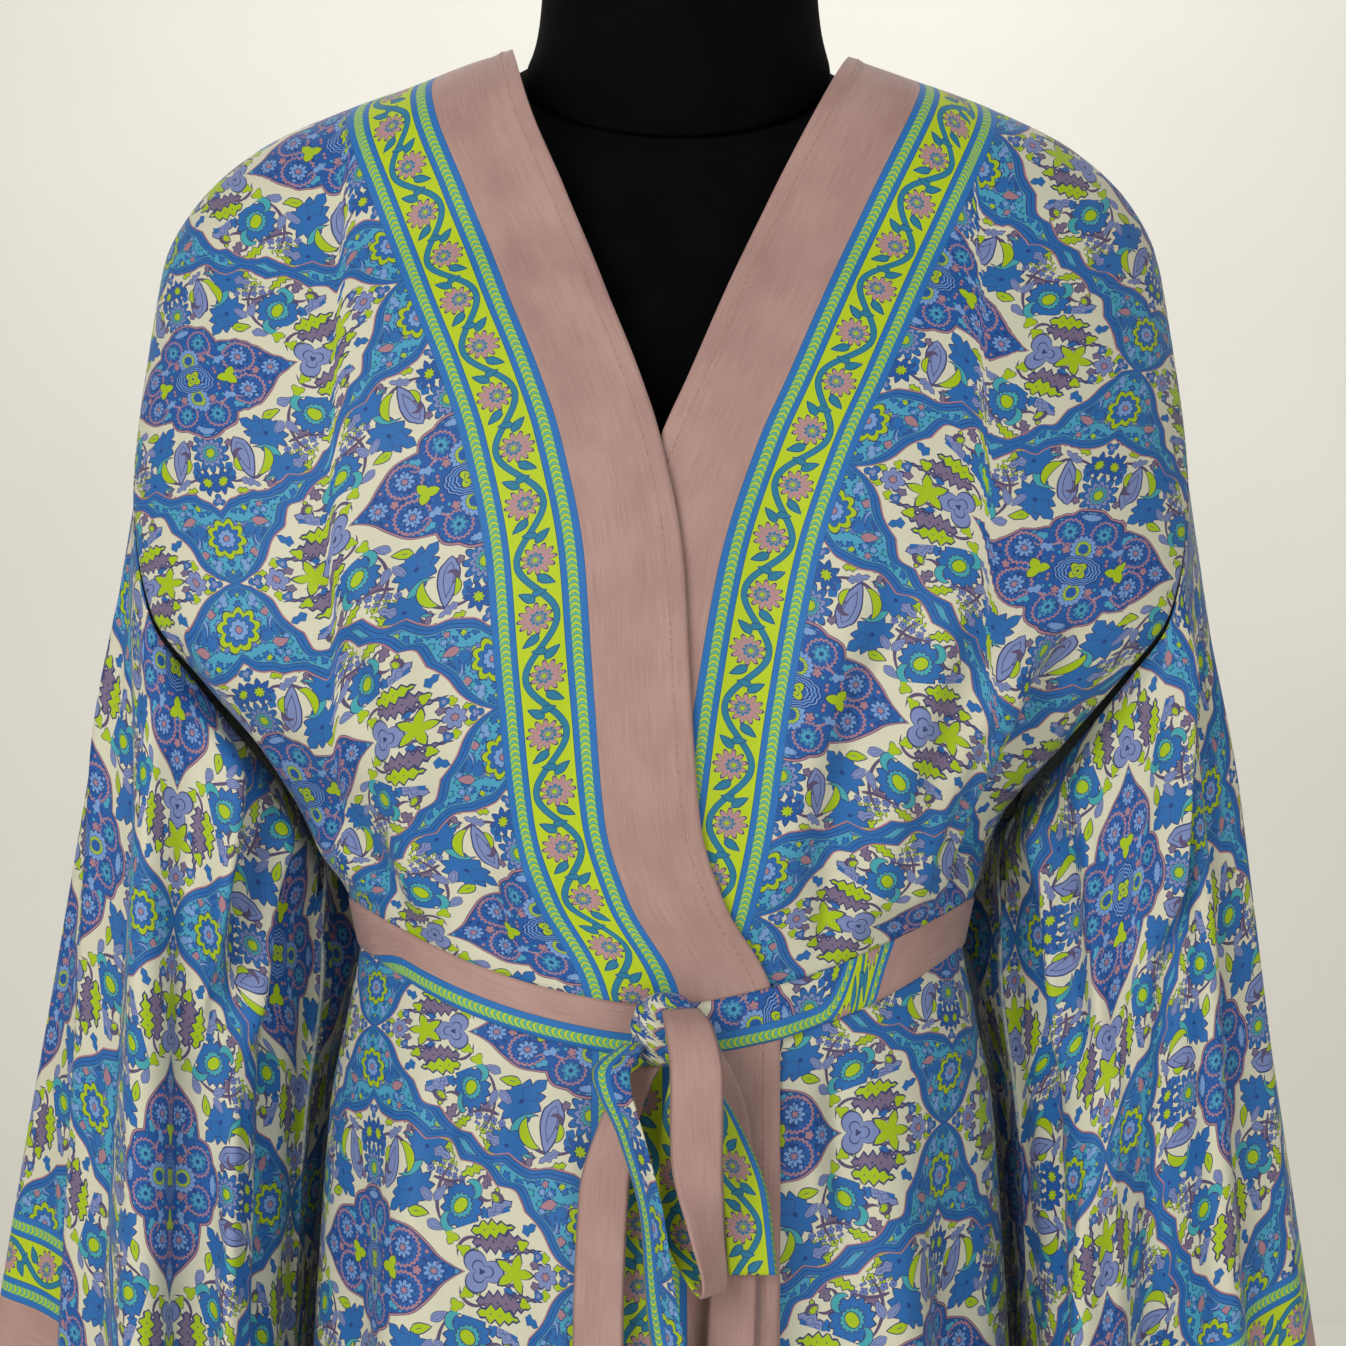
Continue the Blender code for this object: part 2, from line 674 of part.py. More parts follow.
# The dress form and its stand
def form_sections():
    """Sections of the form: its own below, and the robe's less a gap at the shoulders."""
    rows = list(FORM_SECTIONS)
    for z in row_heights():
        if SHOULDER_SEAT[0] < z < SHOULDER_SEAT[1]:
            half_width, front, back = (
                float(table_value(BODY_SECTIONS, column, z) - FORM_CLEARANCE)
                for column in ("half_width", "front", "back")
            )
            height = (z - FORM_CLEARANCE) / MM
            front = front / MM - SHOULDER_EASE_FRONT
            back = back / MM - SHOULDER_EASE_BACK
            rows.append(FormSection(height, half_width / MM, front, back))
    seam = NECK_RADIUS / MM + 2
    rows.append(FormSection(NECK_SEAM_HEIGHT / MM, seam, seam, seam))
    return rows


def form_ring(sections, z, count):
    """One ring of the form; towards the neck its front tips down like the neck seam."""
    half_width = table_value(sections, "half_width", z)
    front = table_value(sections, "front", z)
    back = table_value(sections, "back", z)
    centre = table_value(BODY_SECTIONS, "centre", z)
    turn = np.arange(count) / count * 2 * math.pi
    x = centre + half_width * np.sin(turn)
    y = np.where(np.cos(turn) > 0, -front * np.cos(turn), -back * np.cos(turn))
    drop = NECK_SEAM_DROP * smooth_step(NECK_TILT_FROM, NECK_SEAM_HEIGHT, z)
    height = z + drop * np.minimum(y, 0) / NECK_RADIUS
    return np.stack([x, y, height], axis=1)


def lofted_solid(name, rings):
    """A closed solid through rings of equal counts, its ends closed to a middle point."""
    bm = bmesh.new()
    loops = [[bm.verts.new(point) for point in ring] for ring in rings]
    count = len(loops[0])
    for low, high in zip(loops[:-1], loops[1:]):
        for j in range(count):
            k = (j + 1) % count
            bm.faces.new([low[j], low[k], high[k], high[j]])
    for loop, ring in ((loops[0], rings[0]), (loops[-1], rings[-1])):
        middle = bm.verts.new(np.mean(ring, axis=0))
        for j in range(count):
            bm.faces.new([loop[j], loop[(j + 1) % count], middle])
    bmesh.ops.recalc_face_normals(bm, faces=bm.faces)
    mesh = bpy.data.meshes.new(name)
    bm.to_mesh(mesh)
    bm.free()
    return mesh


def make_form(cover, enamel, collection):
    """The torso, the neck sewn onto it and the cap on the neck."""
    sections = form_sections()
    seat_rows = [row.height * MM for row in sections if row.height * MM > FORM_ROWS[-1]]
    rings = [form_ring(sections, float(z), FORM_STEPS) for z in FORM_ROWS + seat_rows]
    add_object("form_torso", lofted_solid("form_torso", rings), cover, collection)

    seam = rings[-1]
    neck_rings = []
    for share, size in NECK_RINGS:
        ring = seam.copy()
        ring[:, 2] = (seam[:, 2] + SEAM_GAP) * (1 - share) + NECK_TOP * share
        middle = ring.mean(axis=0)
        ring[:, :2] = middle[:2] + (ring[:, :2] - middle[:2]) * size
        neck_rings.append(ring)
    add_object("form_neck", lofted_solid("form_neck", neck_rings), cover, collection)

    turned_object("form_cap", CAP_PROFILE, NECK_TOP + SEAM_GAP, enamel, collection)
    bpy.data.objects["form_cap"].location.x = seam.mean(axis=0)[0]


def turned_object(name, profile, height, material, collection, steps=36):
    """A turned solid from its profile, read from the outer bottom edge to the top middle."""
    outline = [(0.0, profile[0][1])] + profile
    mesh = bpy.data.meshes.new(name)
    points = [(radius, 0.0, z) for radius, z in outline][::-1]
    edges = [(i, i + 1) for i in range(len(points) - 1)]
    mesh.from_pydata(points, edges, [])
    obj = add_object(name, mesh, material, collection)
    obj.location.z = height
    screw = obj.modifiers.new("turn", "SCREW")
    screw.steps = steps
    screw.render_steps = steps
    screw.use_merge_vertices = True
    screw.merge_threshold = 0.00001
    return obj


def make_stand(metal, collection):
    """A straight pole from the base up to the form, and a round flat base."""
    bpy.ops.mesh.primitive_cylinder_add(
        vertices=24,
        radius=POLE_RADIUS,
        depth=FORM_BOTTOM - BASE_HEIGHT - 2 * SEAM_GAP,
        location=(0, 0, (FORM_BOTTOM + BASE_HEIGHT) / 2),
    )
    pole = bpy.context.active_object
    pole.name = "stand_pole"
    for other in pole.users_collection:
        other.objects.unlink(pole)
    collection.objects.link(pole)
    pole.data.materials.append(metal)
    turned_object("stand_base", BASE_PROFILE, 0.0, metal, collection)


def make_robe(cloth, collection):
    """The back, the two fronts and the two sleeves, each a wall of cloth."""
    pieces = (
        ("back", back_grid(), False, True),
        ("front_wearers_right", front_grid("top_layer"), False, True),
        ("front_wearers_left", front_grid("under_layer"), False, False),
        ("sleeve_wearers_right", sleeve_grid(-1.0, RIGHT_CUFF), True, True),
        ("sleeve_wearers_left", sleeve_grid(1.0, LEFT_CUFF), True, False),
    )
    for name, grid, closed, flip in pieces:
        mesh = panel_mesh(name, grid, closed, flip)
        add_wall(add_object(name, mesh, cloth, collection), WALL)


def make_belt(material, collection):
    """The round of the waist, the knot, two loops and two tails."""
    mesh = panel_mesh("belt_waist", belt_grid(), True, True)
    add_wall(add_object("belt_waist", mesh, material, collection), BELT_WALL)
    knot_object(material, collection)
    stretches = (
        ("belt_loop_front", FRONT_LOOP, 30),
        ("belt_loop_side", SIDE_LOOP, 36),
        ("belt_tail_short", SHORT_TAIL, 12),
        ("belt_tail_long", LONG_TAIL, 20),
    )
    for name, stations, count in stretches:
        mesh = panel_mesh(name, ribbon_grid(stations, count), False, True)
        add_wall(add_object(name, mesh, material, collection), BELT_WALL)


def main():
    for obj in list(bpy.data.objects):
        bpy.data.objects.remove(obj, do_unlink=True)
    collection = bpy.data.collections.new("kimono_robe")
    bpy.context.scene.collection.children.link(collection)
    materials = {name: make_material(name) for name in COLOURS}
    make_robe(materials["printed_cloth"], collection)
    make_belt(materials["belt_cloth"], collection)
    make_form(materials["form_cover"], materials["cap_enamel"], collection)
    make_stand(materials["stand_metal"], collection)


main()
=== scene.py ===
# %% [markdown]
# # A printed kimono robe on a dress form
# The robe hangs on a black limbless dress form. Five cut pieces make it: a back, two
# fronts that wrap over each other, and two wide sleeves. A narrow belt is tied in a bow.
# The frame holds these pieces as plain solids at their real places. This lesson dresses
# them: thin cloth with folds, a printed pattern made of nodes, hems, stitches and a bow.

# %% Load the frame
import math
from collections import namedtuple

import bmesh
import bpy
import numpy as np
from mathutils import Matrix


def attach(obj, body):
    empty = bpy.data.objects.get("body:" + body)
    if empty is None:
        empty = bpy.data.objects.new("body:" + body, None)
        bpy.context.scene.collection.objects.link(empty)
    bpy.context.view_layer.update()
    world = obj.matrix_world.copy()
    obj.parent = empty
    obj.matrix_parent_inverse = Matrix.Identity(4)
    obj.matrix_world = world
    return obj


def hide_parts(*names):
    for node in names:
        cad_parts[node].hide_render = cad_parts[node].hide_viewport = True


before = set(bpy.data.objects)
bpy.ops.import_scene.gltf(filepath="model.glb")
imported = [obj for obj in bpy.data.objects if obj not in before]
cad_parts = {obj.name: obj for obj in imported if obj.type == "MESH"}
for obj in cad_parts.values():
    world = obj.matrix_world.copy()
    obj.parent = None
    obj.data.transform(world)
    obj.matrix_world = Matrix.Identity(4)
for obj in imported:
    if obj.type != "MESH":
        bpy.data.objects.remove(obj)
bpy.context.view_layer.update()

MM = 0.001
scene = bpy.context.scene
print("frame nodes:", len(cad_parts))

# %% [markdown]
# ## The camera
# The picture is a close view from straight in front, level with the chest. Such a view can
# be matched from known widths: the form's neck and the tied waist. They give the distance
# and the lens below. The camera comes first, ahead of every other piece.

# %% Camera
CAMERA_DISTANCE = 1.150
CAMERA_HEIGHT = 1.158
CAMERA_ACROSS = 0.005
PIXELS_PER_METRE = 2300
PICTURE_WIDTH = 1346
SENSOR_WIDTH = 36.0

camera_data = bpy.data.cameras.new("camera")
camera_data.sensor_width = SENSOR_WIDTH
camera_data.lens = PIXELS_PER_METRE * CAMERA_DISTANCE / PICTURE_WIDTH * SENSOR_WIDTH
camera = bpy.data.objects.new("camera", camera_data)
camera.location = (CAMERA_ACROSS, -CAMERA_DISTANCE, CAMERA_HEIGHT)
camera.rotation_euler = (math.pi / 2, 0, 0)
scene.collection.objects.link(camera)
scene.camera = camera
print("lens:", round(camera_data.lens, 1), "mm")

# %% [markdown]
# ## Level sections of the hanging robe
# Cloth on a form is described well by level sections: how wide and how deep it is at each
# height from hem to neck. A table of a few rows, read along a smooth curve, gives every
# point of the cloth. The free front edges have a table of their own, because they cross
# over at the chest and swing aside where the belt pulls them.

# %% Tables of the robe's form, in millimetres
HEM_HEIGHT = 0.150
UNDERARM_HEIGHT = 1.090
ARMHOLE_TOP = 1.337
SEAM_GAP = 0.0003
ROUNDNESS = 2.3
FLAT_FRONT_REACH = 0.11
WAIST_HEIGHT = 1.030
WAIST_HALF_WIDTH = 0.128
WAIST_TILT_SPAN = (0.86, 1.0, 1.06, 1.20)
BELT_FRONT_HEIGHT = 1.016
BELT_SIDE_RISE = 0.036
BELT_RISE_POWER = 1.6
DENSE_POINTS = 160

Section = namedtuple("Section", "height half_width front back seam")
BODY_SECTIONS = [
    Section(150, 186, 138, 143, 186),
    Section(450, 172, 129, 134, 172),
    Section(700, 158, 121, 126, 158),
    Section(860, 150, 116, 118, 150),
    Section(960, 142, 108, 108, 142),
    Section(1000, 134, 101, 98, 134),
    Section(1030, 129, 98, 92, 129),
    Section(1058, 137, 105, 98, 137),
    Section(1090, 149, 112, 104, 149),
    Section(1120, 175, 117, 108, 168),
    Section(1150, 207, 120, 110, 188),
    Section(1182, 240, 121, 111, 208),
    Section(1216, 237, 119, 110, 217),
    Section(1250, 230, 114, 107, 220),
    Section(1307, 219, 97, 97, 217),
    Section(1337, 213, 82, 88, 213),
    Section(1359, 201, 76, 82, 201),
    Section(1381, 177, 69, 76, 177),
    Section(1399, 139, 62, 71, 139),
    Section(1411, 104, 54, 68, 104),
    Section(1422, 72, 42, 66, 72),
]
NECK_SHIFT = [(1337, 0), (1359, 1), (1381, 2), (1399, 4), (1411, 6), (1422, 8)]

Edge = namedtuple("Edge", "height top_layer under_layer")
FRONT_EDGES = [
    Edge(1422, -63, 81),
    Edge(1388, -53, 63),
    Edge(1353, -38.5, 45.5),
    Edge(1308, -21, 25),
    Edge(1275, -8, 11),
    Edge(1250, 0, 0),
    Edge(1202, 9, -15),
    Edge(1148, 12, -24),
    Edge(1100, 15.5, -30),
    Edge(1069, 24.5, -36),
    Edge(1034, 43, -44),
    Edge(1015, 47, -46),
    Edge(900, 46, -48),
    Edge(150, 44, -50),
]

Span = namedtuple("Span", "low high rows")
ROW_SPANS = [
    Span(150, 860, 64),
    Span(860, 980, 30),
    Span(980, 1070, 36),
    Span(1070, 1337, 72),
    Span(1337, 1359, 8),
    Span(1359, 1422, 26),
]
BACK_COLUMNS = 170
FRONT_COLUMNS = 120
print("level rows:", sum(span.rows for span in ROW_SPANS) + 1)


# %% [markdown]
# ## Reading the tables
# Points between two rows follow a curve that never overshoots them, so a waist stays the
# narrowest place and a shoulder doesn't bulge. The belt sags at the middle of the front and
# rides up at the sides, so heights near the waist are shifted with it before the table is
# read.

# %% Lookups
def curve_between(low, high, slope_low, slope_high, span, t):
    """A smooth curve from one value to the next, with a given slope at each."""
    return (
        low * (1 + 2 * t) * (1 - t) ** 2
        + slope_low * span * t * (1 - t) ** 2
        + high * t * t * (3 - 2 * t)
        + slope_high * span * t * t * (t - 1)
    )


def smooth_lookup(keys, values, where):
    """Read a table between its rows along a curve that doesn't overshoot."""
    keys = np.asarray(keys, float)
    values = np.asarray(values, float)
    steps = np.diff(values) / np.diff(keys)
    slopes = np.append(steps, steps[-1])
    both = steps[:-1] * steps[1:]
    slopes[1:-1] = np.where(both > 0, 2 * both / (steps[:-1] + steps[1:] + 1e-30), 0)
    where = np.clip(np.asarray(where, float), keys[0], keys[-1])
    row = np.clip(np.searchsorted(keys, where, side="right") - 1, 0, len(keys) - 2)
    span = keys[row + 1] - keys[row]
    t = (where - keys[row]) / span
    return curve_between(values[row], values[row + 1], slopes[row], slopes[row + 1], span, t)


def table_value(table, column, height):
    """One column of a table of heights, in metres, at heights in metres."""
    rows = sorted(table, key=lambda row: row.height)
    keys = [row.height * MM for row in rows]
    return smooth_lookup(keys, [getattr(row, column) * MM for row in rows], height)


def smooth_step(low, high, value):
    """0 below low, 1 above high and a soft ramp between."""
    t = np.clip((np.asarray(value, float) - low) / (high - low), 0, 1)
    return t * t * (3 - 2 * t)


def belt_height(x):
    """The belt sags at the front and rides up at the sides."""
    share = np.clip(np.abs(x) / WAIST_HALF_WIDTH, 0, 1)
    return BELT_FRONT_HEIGHT + BELT_SIDE_RISE * share**BELT_RISE_POWER


def waist_shift(x, z):
    """Height in the section table for a point whose waist line isn't level."""
    rise = belt_height(x) - WAIST_HEIGHT
    low_start, low_end, high_start, high_end = WAIST_TILT_SPAN
    reach = smooth_step(low_start, low_end, z) * (1 - smooth_step(high_start, high_end, z))
    return z - rise * reach


def neck_shift(z):
    """How far the neck and shoulders stand to the side of the middle."""
    heights, shifts = zip(*NECK_SHIFT)
    return smooth_lookup(np.array(heights) * MM, np.array(shifts) * MM, z)


def run_length(points):
    """Distance from the start along a line of points, or down each column of a grid."""
    run = np.cumsum(np.linalg.norm(np.diff(points, axis=0), axis=-1), axis=0)
    return np.concatenate([np.zeros((1, *run.shape[1:])), run])


def run_across(grid):
    """Distance along each row of a grid from its first column."""
    return run_length(grid.swapaxes(0, 1)).T


def points_at(line, run, where):
    """Points of a line at distances along it."""
    return np.stack([np.interp(where, run, line[:, axis]) for axis in range(3)], axis=-1)


def unit(vectors):
    """The same directions with a length of one."""
    return vectors / np.maximum(np.linalg.norm(vectors, axis=-1, keepdims=True), 1e-9)


def even_along(points, count):
    """Points spread evenly along a dense line, from its first to its last."""
    run = run_length(points)
    return points_at(points, run, np.linspace(0, run[-1], count))


def level_section(z, face, side):
    """Half of a level section, from the middle to the sewn seam, as dense points."""
    shifted = waist_shift(FLAT_FRONT_REACH, z)
    half_width = table_value(BODY_SECTIONS, "half_width", shifted)
    seam = min(table_value(BODY_SECTIONS, "seam", shifted), half_width)
    x = half_width * np.sin(np.linspace(0, math.asin(seam / half_width), DENSE_POINTS))
    shallow = table_value(BODY_SECTIONS, face, waist_shift(0.0, z))
    deep = table_value(BODY_SECTIONS, face, shifted)
    blend = smooth_step(0.0, FLAT_FRONT_REACH, x)
    depth = shallow * (1 - blend) + deep * blend
    y = depth * np.maximum(1 - (x / half_width) ** ROUNDNESS, 0) ** (1 / ROUNDNESS)
    sign = -1.0 if face == "front" else 1.0
    return np.stack([neck_shift(z) + side * x, sign * y, np.full(DENSE_POINTS, z)], axis=1)


def row_heights():
    """Level rows from hem to neck, in each span evenly spaced along the side's outline."""
    rows = [HEM_HEIGHT]
    for span in ROW_SPANS:
        z = np.linspace(span.low, span.high, 200) * MM
        x = table_value(BODY_SECTIONS, "seam", z)
        outline = np.stack([x, np.zeros_like(z), z], axis=1)
        rows.extend(even_along(outline, span.rows + 1)[1:, 2])
    return np.array(rows)


ROWS = row_heights()
print("waist half width:", round(float(table_value(BODY_SECTIONS, "half_width", 1.03)), 3), "m")

# %% [markdown]
# ## Folds of the body
# The belt gathers the cloth, and the heavy sleeves pull creases from each underarm towards
# the waist. Folds could come from a cloth simulation, but then their places can't be
# chosen. Here each is listed: a line across the panel, a sideways bow, a width and a
# depth, outward or inward. Their sizes are uneven, as in real cloth.

# %% Fold tables and how they move the cloth
FOLD_RUN_IN = 0.28
HEM_FOLD_RUN_IN = 0.12
FOLD_OVERHANG = 0.3
HEM_FOLD_END = 0.200
SEAM_FADE_REACH = 0.022
BELT_HOLD_SPAN = (0.009, 0.034)
SEAM_DIP = 0.0009
SEAM_DIP_REACH = 0.0035
SEAM_DIP_FADE = 0.02

Fold = namedtuple("Fold", "name x_top z_top x_low z_low bow width depth")
FRONT_FOLDS = [
    Fold("left underarm drape", -196, 1190, -112, 1050, 6, 13, 10.5),
    Fold("left underarm hollow", -176, 1160, -95, 1040, 5, 9, -8.1),
    Fold("left side blouse", -120, 1150, -88, 1035, 4, 11, 7.5),
    Fold("left chest crease", -150, 1215, -104, 1085, 8, 8, -4.7),
    Fold("left chest ridge", -132, 1230, -92, 1080, 8, 13, 4.5),
    Fold("left long hollow", -88, 1240, -62, 1045, -6, 20, -4.7),
    Fold("left waist pleat", -70, 1080, -62, 1022, 0, 5, -4.1),
    Fold("left waist ridge", -54, 1090, -50, 1020, 0, 7, 3.8),
    Fold("left middle hollow", -34, 1180, -22, 1030, -5, 12, -3.4),
    Fold("right underarm drape", 150, 1170, 98, 1045, -6, 12, 12.0),
    Fold("right underarm hollow", 172, 1180, 118, 1052, -6, 9, -10.8),
    Fold("right side blouse", 120, 1200, 78, 1040, -5, 12, 9.0),
    Fold("right pinch crease", 136, 1150, 104, 1062, -3, 5, -6.8),
    Fold("right chest hollow", 100, 1190, 62, 1050, -6, 11, -5.4),
    Fold("right chest ridge", 84, 1210, 48, 1060, -6, 12, 3.8),
    Fold("right waist pleat", 72, 1085, 62, 1024, 0, 5, -4.1),
    Fold("right long hollow", 60, 1260, 34, 1080, -8, 18, -4.1),
    Fold("left hip fold", -96, 985, -122, 160, 0, 20, 10.5),
    Fold("left hip hollow", -66, 985, -84, 160, 0, 22, -9.0),
    Fold("left front ridge", -38, 985, -48, 160, 4, 16, 4.5),
    Fold("left side hollow", -122, 990, -150, 160, 0, 14, -7.5),
    Fold("right hip fold", 88, 985, 116, 160, 0, 20, 12.0),
    Fold("right hip hollow", 118, 985, 146, 160, 0, 16, -10.5),
    Fold("right front hollow", 62, 960, 80, 160, 0, 20, -9.0),
    Fold("right front ridge", 40, 985, 52, 160, -3, 12, 4.5),
    Fold("short left pleat", -82, 1004, -90, 930, 0, 6, -6.0),
    Fold("short right pleat", 70, 1004, 76, 925, 0, 6, -6.0),
    Fold("short right ridge", 56, 1002, 60, 940, 0, 6, 4.5),
    Fold("short left ridge", -60, 1004, -64, 935, 0, 7, 4.5),
]
BACK_FOLDS = [
    Fold("left waist fold", -92, 1180, -70, 1040, 5, 15, 8.8),
    Fold("left waist hollow", -116, 1150, -98, 1045, 4, 11, -7.2),
    Fold("left chest hollow", -60, 1210, -42, 1050, 5, 13, -4.8),
    Fold("middle waist hollow", -8, 1190, -6, 1040, 0, 18, -6.0),
    Fold("middle waist fold", 26, 1170, 22, 1040, 0, 13, 7.5),
    Fold("right pleat", 58, 1130, 48, 1040, -4, 8, -4.8),
    Fold("right waist fold", 96, 1180, 76, 1040, -5, 14, 8.8),
    Fold("right waist hollow", 118, 1150, 102, 1045, -4, 11, -7.2),
    Fold("left skirt fold", -96, 990, -124, 160, 0, 22, 11.2),
    Fold("left skirt hollow", -62, 990, -80, 160, 3, 20, -10.0),
    Fold("middle skirt fold", -24, 990, -28, 160, 0, 20, 11.2),
    Fold("middle skirt hollow", 14, 990, 18, 160, -3, 18, -10.0),
    Fold("right skirt fold", 54, 990, 70, 160, 0, 19, 11.2),
    Fold("right skirt hollow", 94, 990, 120, 160, 0, 21, -10.0),
    Fold("short pleat", -44, 1006, -50, 930, 0, 7, -5.0),
    Fold("short ridge", 76, 1006, 84, 925, 0, 7, 5.0),
    Fold("shoulder blade crease", -128, 1270, -100, 1140, 8, 12, -3.6),
    Fold("other shoulder crease", 134, 1280, 104, 1130, -8, 13, -4.2),
]


def outward_normals(grid):
    """Unit normals of a body panel's points, away from the upright middle line."""
    normal = unit(np.cross(np.gradient(grid, axis=1), np.gradient(grid, axis=0)))
    return normal * np.sign(np.sum(normal[:, :, :2] * grid[:, :, :2]))


def fold_depth(grid, folds):
    """How far each point of a panel moves out for the folds."""
    x = grid[:, :, 0] / MM
    z = grid[:, :, 2] / MM
    total = np.zeros(x.shape)
    for fold in folds:
        line = np.array([fold.x_low - fold.x_top, fold.z_low - fold.z_top], float)
        length = np.linalg.norm(line)
        line = line / length
        along = (x - fold.x_top) * line[0] + (z - fold.z_top) * line[1]
        across = (x - fold.x_top) * line[1] - (z - fold.z_top) * line[0]
        share = np.clip(along / length, 0, 1)
        across = across + 4 * fold.bow * share * (1 - share)
        reaches_hem = fold.z_low * MM < HEM_FOLD_END
        fade = length * (HEM_FOLD_RUN_IN if reaches_hem else FOLD_RUN_IN)
        over = FOLD_OVERHANG * fade
        reach = smooth_step(-over, fade, along)
        if not reaches_hem:
            reach = reach * (1 - smooth_step(length - fade, length + over, along))
        total += fold.depth * np.exp(-((across / fold.width) ** 2)) * reach
    return total * MM


def from_seam(grid):
    """Distance of each point from the sewn side of its panel, the last column."""
    return run_across(grid[:, ::-1])[:, ::-1]


def seam_fade(grid):
    """0 at the sewn side of a panel and 1 a little way in."""
    return smooth_step(0.0, SEAM_FADE_REACH, from_seam(grid))


def armhole_dip(grid):
    """How far a panel sinks into the seam where a sleeve is sewn to its last column."""
    z = grid[:, :, 2]
    sewn = smooth_step(UNDERARM_HEIGHT, UNDERARM_HEIGHT + SEAM_DIP_FADE, z)
    sewn = sewn * (1 - smooth_step(ARMHOLE_TOP - SEAM_DIP_FADE, ARMHOLE_TOP, z))
    return SEAM_DIP * np.exp(-from_seam(grid) / SEAM_DIP_REACH) * sewn


def belt_hold(grid):
    """0 at the belt, where the cloth is drawn in flat, and 1 away from it."""
    away = np.abs(grid[:, :, 2] - belt_height(grid[:, :, 0]))
    return smooth_step(*BELT_HOLD_SPAN, away)


print("hand-laid folds:", len(FRONT_FOLDS), "in front,", len(BACK_FOLDS), "behind")


# %% [markdown]
# ## The three body panels
# Each panel is a grid of points: level rows from hem to neck, and columns from one sewn
# side to the other, or from the free edge to the sewn side. A grid is the natural shape of
# woven cloth, and keeps the later steps simple. The front on top stands off the front
# beneath it where the two overlap.

# %% Body grids
CLOTH_PLACE = 0.0009
LAYER_STEP = 0.0024
LAYER_LIFT_FROM = -0.115
LAYER_LIFT_TO = -0.075


def back_grid(folds):
    """The back panel: level rows from the left seam round the back to the right seam."""
    rows = []
    for z in ROWS:
        left = level_section(z, "back", -1.0)
        right = level_section(z, "back", 1.0)
        rows.append(even_along(np.concatenate([left[::-1], right[1:]]), BACK_COLUMNS + 1))
    grid = np.array(rows)
    rim = seam_fade(grid) * seam_fade(grid[:, ::-1])[:, ::-1]
    move = fold_depth(grid, folds) * rim * belt_hold(grid) + CLOTH_PLACE
    move -= armhole_dip(grid) + armhole_dip(grid[:, ::-1])[:, ::-1]
    return grid + outward_normals(grid) * move[:, :, None]


def front_grid(layer, folds):
    """A front panel: level rows from its free edge to its sewn side."""
    side = -1.0 if layer == "top_layer" else 1.0
    rows = []
    for z in ROWS:
        edge = float(table_value(FRONT_EDGES, layer, z))
        near = level_section(z, "front", side)
        far = level_section(z, "front", -side)
        line = np.concatenate([far[::-1], near[1:]])
        order = line[:, 0] * side
        start = np.searchsorted(order, edge * side)
        first = np.array([[edge, np.interp(edge * side, order, line[:, 1]), z]])
        rows.append(even_along(np.concatenate([first, line[start:]]), FRONT_COLUMNS + 1))
    grid = np.array(rows)
    move = fold_depth(grid, folds) * seam_fade(grid) * belt_hold(grid) + CLOTH_PLACE
    move -= armhole_dip(grid)
    if layer == "top_layer":
        move += LAYER_STEP * smooth_step(LAYER_LIFT_FROM, LAYER_LIFT_TO, grid[:, :, 0])
    return grid + outward_normals(grid) * move[:, :, None]


SMOOTH_BACK_GRID = back_grid([])
BACK_GRID = back_grid(BACK_FOLDS)
SMOOTH_FRONT_GRIDS = {layer: front_grid(layer, []) for layer in ("top_layer", "under_layer")}
TOP_FRONT_GRID = front_grid("top_layer", FRONT_FOLDS)
UNDER_FRONT_GRID = front_grid("under_layer", FRONT_FOLDS)
print("points of a front:", TOP_FRONT_GRID.shape[0] * TOP_FRONT_GRID.shape[1])

# %% [markdown]
# ## The sleeves
# A kimono sleeve is a wide tube sewn to a dropped armhole. Without an arm in it, it
# collapses into a few big upright folds. These folds are easiest to set at the cuff, as a
# closed line through a dozen places. Each ring between the armhole and the cuff is then a
# mix of the two, and smaller creases are laid over them.

# %% Sleeve grids
SLEEVE_ROWS = 120
SLEEVE_COLUMNS = 276
SLEEVE_SEAM = 0.53
SEAM_DIP_DOWN = 4.0
VALLEY_START = 10
CREASE_FADE = 0.25

CuffFold = namedtuple("CuffFold", "name around x y z")
RIGHT_CUFF = [
    CuffFold("outer edge", 0.00, -299, 18, 848),
    CuffFold("tucked strip", 0.11, -239, -13, 828),
    CuffFold("flap edge", 0.19, -248, -50, 795),
    CuffFold("flap face", 0.27, -217, -80, 778),
    CuffFold("front dip", 0.34, -188, -64, 768),
    CuffFold("front ridge", 0.40, -168, -78, 762),
    CuffFold("inner turn", 0.48, -163, -34, 752),
    CuffFold("inner side", 0.59, -163, 26, 756),
    CuffFold("back ridge", 0.69, -181, 78, 776),
    CuffFold("back dip", 0.76, -207, 60, 798),
    CuffFold("back fold", 0.84, -243, 82, 822),
    CuffFold("back face", 0.92, -282, 56, 840),
]
LEFT_CUFF = [
    CuffFold("outer edge", 0.00, 290, 12, 846),
    CuffFold("outer face", 0.09, 268, -42, 830),
    CuffFold("broad ridge", 0.18, 234, -70, 812),
    CuffFold("deep valley", 0.27, 199, -42, 795),
    CuffFold("overlapping fold", 0.34, 185, -76, 784),
    CuffFold("inner ridge", 0.41, 166, -82, 770),
    CuffFold("inner turn", 0.49, 162, -36, 760),
    CuffFold("inner side", 0.59, 162, 26, 758),
    CuffFold("back ridge", 0.69, 180, 78, 776),
    CuffFold("back dip", 0.76, 208, 58, 798),
    CuffFold("back fold", 0.84, 240, 80, 822),
    CuffFold("back face", 0.92, 270, 52, 840),
]

